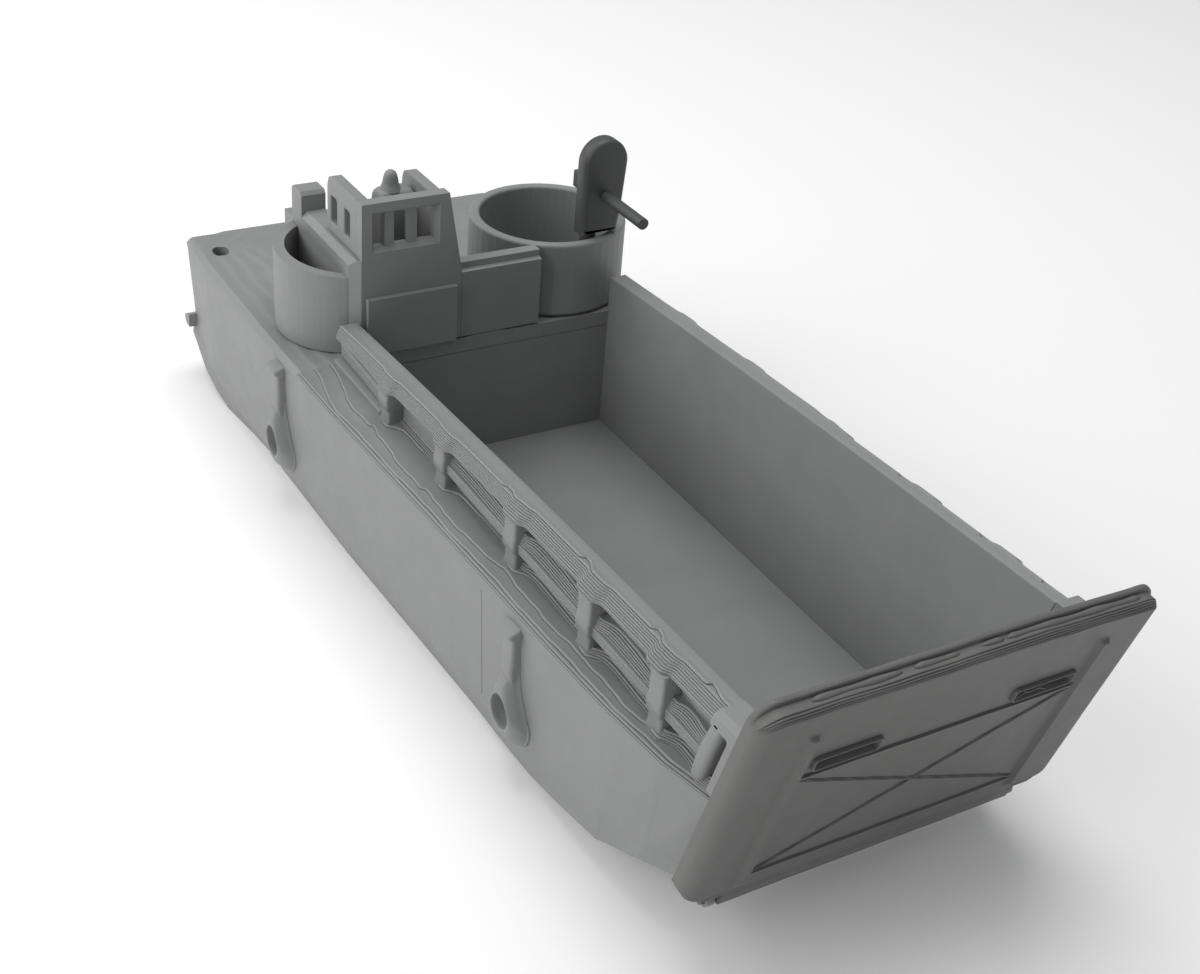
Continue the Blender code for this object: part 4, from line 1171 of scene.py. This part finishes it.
def make_hairs():
    """Two loose threads of plastic left across the port slot."""
    for number, path in enumerate(HAIRS, 1):
        curve = bpy.data.curves.new("hair_%d" % number, "CURVE")
        curve.dimensions = "3D"
        curve.bevel_depth = HAIR_R * MM
        curve.bevel_resolution = 1
        line = curve.splines.new("NURBS")
        line.points.add(len(path) - 1)
        for point, (y, u) in zip(line.points, path):
            point.co = (*(c * MM for c in ramp_place(HAIR_BACK, y, u)), 1.0)
        line.use_endpoint_u = True
        line.order_u = 3
        hair = bpy.data.objects.new("hair_%d" % number, curve)
        bpy.context.scene.collection.objects.link(hair)
        graph = bpy.context.evaluated_depsgraph_get()
        mesh = bpy.data.meshes.new_from_object(hair.evaluated_get(graph))
        bpy.data.objects.remove(hair)
        thread = bpy.data.objects.new("thread_%d" % number, mesh)
        bpy.context.scene.collection.objects.link(thread)
        dress(thread, "ramp", "ramp")


# after body


def make_console():
    """Steering console with a domed top and a tapered round bulb."""
    rings = []
    for z, inset in DOME:
        x0, x1 = CONSOLE_X[0] + inset, CONSOLE_X[1] - inset
        y0, y1 = CONSOLE_Y[0] + inset, CONSOLE_Y[1] - inset
        rings.append(soft_box_ring(x0, x1, y0, y1, z, min(0.35, 0.49 * (x1 - x0)), 5))
    console = loft("console_soft", rings, "hull", "hull", 50.0)
    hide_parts("steering_console")
    rings = []
    for z, r in BULB:
        rings.append([(BULB_AT[0] + r * c, BULB_AT[1] + r * s, z) for c, s in circle(32)])
    loft("console_bulb", rings, "hull", "hull", 60.0)


def shield_outline():
    """Evenly spaced points round the shield, with the direction inward at each."""
    half = SHIELD_HALF
    corners = [(-half, SHIELD_LOW), (SHIELD_FOOT_SHARE * half, SHIELD_LOW)]
    corners.append((SHIELD_WAIST_SHARE * half, SHIELD_WAIST))
    for a in np.linspace(0.0, math.pi, 40):
        corners.append((half * math.cos(a), SHIELD_HIGH - half + half * math.sin(a)))
    corners = np.array(corners + corners[:1])
    run = np.concatenate([[0.0], np.cumsum(np.hypot(*np.diff(corners, axis=0).T))])
    stations = np.linspace(0.0, run[-1], 120, endpoint=False)
    outline = np.stack([np.interp(stations, run, corners[:, axis]) for axis in (0, 1)], axis=1)
    along = np.roll(outline, -1, axis=0) - np.roll(outline, 1, axis=0)
    inward = np.stack([-along[:, 1], along[:, 0]], axis=1) / np.hypot(*along.T)[:, None]
    return outline, inward


def make_shield():
    """Round-topped shield with soft edges all round."""
    outline, inward = shield_outline()
    rings = []
    for fore, inset in SHIELD_EDGE:
        rings.append([(SHIELD_X + fore, SHIELD_Y + y, z) for y, z in outline + inset * inward])
    shield = loft("shield_soft", rings, "gun", "gun", 50.0)
    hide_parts("gun_shield")


# corners sharper than this are rounded, in degrees
SOFT_ANGLE = 32.0


def soften(name, width):
    """Round the edges of a solid that stays as it is."""
    item = frame["nodes"][name]
    weld = item.modifiers.new("weld", "WELD")
    weld.merge_threshold = 0.002 * MM
    bevel = item.modifiers.new("soft", "BEVEL")
    bevel.width = width * MM
    bevel.segments = 3
    bevel.limit_method = "ANGLE"
    bevel.angle_limit = math.radians(SOFT_ANGLE)
    bevel.miter_outer = "MITER_ARC"
    even = item.modifiers.new("even", "WEIGHTED_NORMAL")
    even.keep_sharp = True


SOFT_EDGES = {
    "bow_frame_port": 0.3, "bow_frame_starboard": 0.3, "hull_stern": 0.45,
    "shelter_front": 0.16, "shelter_port": 0.2, "shelter_starboard": 0.2, "shelter_base": 0.26,
    "well_bulkhead": 0.14, "tub_port": 0.25, "tub_starboard": 0.25,
    "gun_receiver": 0.12, "gun_barrel": 0.15,
}


def dress_solids():
    """Plastic for every solid that is shown, and soft edges where they show."""
    slots = {row["node"]: row["material_slot"] for row in frame["record"]["subparts"]}
    for name, item in frame["nodes"].items():
        item.data.materials.clear()
        item.data.materials.append(MATERIALS[slots[name]])
    for name, width in SOFT_EDGES.items():
        soften(name, width)


# stage


FLOOR_SIZE = 1600.0
FLOOR_COLOUR = (0.98, 0.98, 0.975, 1.0)
FLOOR_GLOW = (1.0, 1.0, 0.99, 1.0)
FLOOR_GLOW_STRENGTH = 0.08


def make_floor():
    """Plain pale floor."""
    bpy.ops.mesh.primitive_plane_add(size=FLOOR_SIZE * MM, location=(0.0, 0.0, 0.0))
    floor = bpy.context.object
    floor.name = "floor"
    material = bpy.data.materials.new("floor_white")
    material.use_nodes = True
    shader = material.node_tree.nodes["Principled BSDF"]
    shader.inputs["Base Color"].default_value = FLOOR_COLOUR
    shader.inputs["Roughness"].default_value = 0.8
    shader.inputs["Emission Color"].default_value = FLOOR_GLOW
    shader.inputs["Emission Strength"].default_value = FLOOR_GLOW_STRENGTH
    floor.data.materials.append(material)


# lamps: name, place, target, width and power
LAMPS = (
    ("key", (10.0, -335.0, 215.0), (0.0, 0.0, 8.0), 240.0, 0.5),
    ("side", (-190.0, -150.0, 150.0), (-20.0, 0.0, 8.0), 150.0, 0.18),
    ("top", (-80.0, 40.0, 420.0), (0.0, 0.0, 8.0), 320.0, 1.0),
)
WORLD_COLOUR = (0.97, 0.98, 1.0, 1.0)
WORLD_STRENGTH = 0.24


def area_light(name, place, target, size, power):
    """Soft square lamp aimed at a point, in millimetres."""
    lamp = bpy.data.lights.new(name, "AREA")
    lamp.shape = "SQUARE"
    lamp.size = size * MM
    lamp.energy = power
    item = bpy.data.objects.new(name, lamp)
    bpy.context.scene.collection.objects.link(item)
    item.location = Vector(place) * MM
    item.rotation_euler = (Vector(target) - Vector(place)).to_track_quat("-Z", "Y").to_euler()


def make_light():
    """Soft studio light from above and the starboard quarter."""
    for lamp in LAMPS:
        area_light(*lamp)
    world = bpy.data.worlds.new("studio")
    bpy.context.scene.world = world
    world.use_nodes = True
    backdrop = world.node_tree.nodes["Background"]
    backdrop.inputs["Color"].default_value = WORLD_COLOUR
    backdrop.inputs["Strength"].default_value = WORLD_STRENGTH


def make_camera():
    """Camera where the photograph was taken."""
    camera = bpy.data.cameras.new("camera")
    camera.sensor_width = SENSOR
    camera.lens = LENS
    camera.clip_start = 0.005
    camera.clip_end = 10.0
    item = bpy.data.objects.new("camera", camera)
    bpy.context.scene.collection.objects.link(item)
    turn = Matrix.Identity(4)
    for row in range(3):
        turn[row][0] = CAMERA_RIGHT[row]
        turn[row][1] = -CAMERA_DOWN[row]
        turn[row][2] = -CAMERA_AHEAD[row]
        turn[row][3] = CAMERA_AT[row] * MM
    item.matrix_world = turn
    bpy.context.scene.camera = item


def make_all():
    """Build and dress every piece, then the stage."""
    dress_solids()
    for side, hand in (("starboard", -1.0), ("port", 1.0)):
        make_side_deck(side, hand)
        make_cap(side, hand)
        make_rails(side, hand)
        for number, x in enumerate(POST_X, 1):
            make_post(side, hand, number, x)
        make_locker(side, hand)
        make_strut(side, hand)
        make_seam(side, hand)
        for place in FENDER_X:
            make_fender(side, hand, place)
    make_aft_deck()
    make_console()
    make_shield()
    make_ramp()
    make_strands()
    make_hairs()
    make_floor()
    make_light()
    make_camera()
    bpy.context.scene.view_settings.view_transform = "Standard"


make_all()
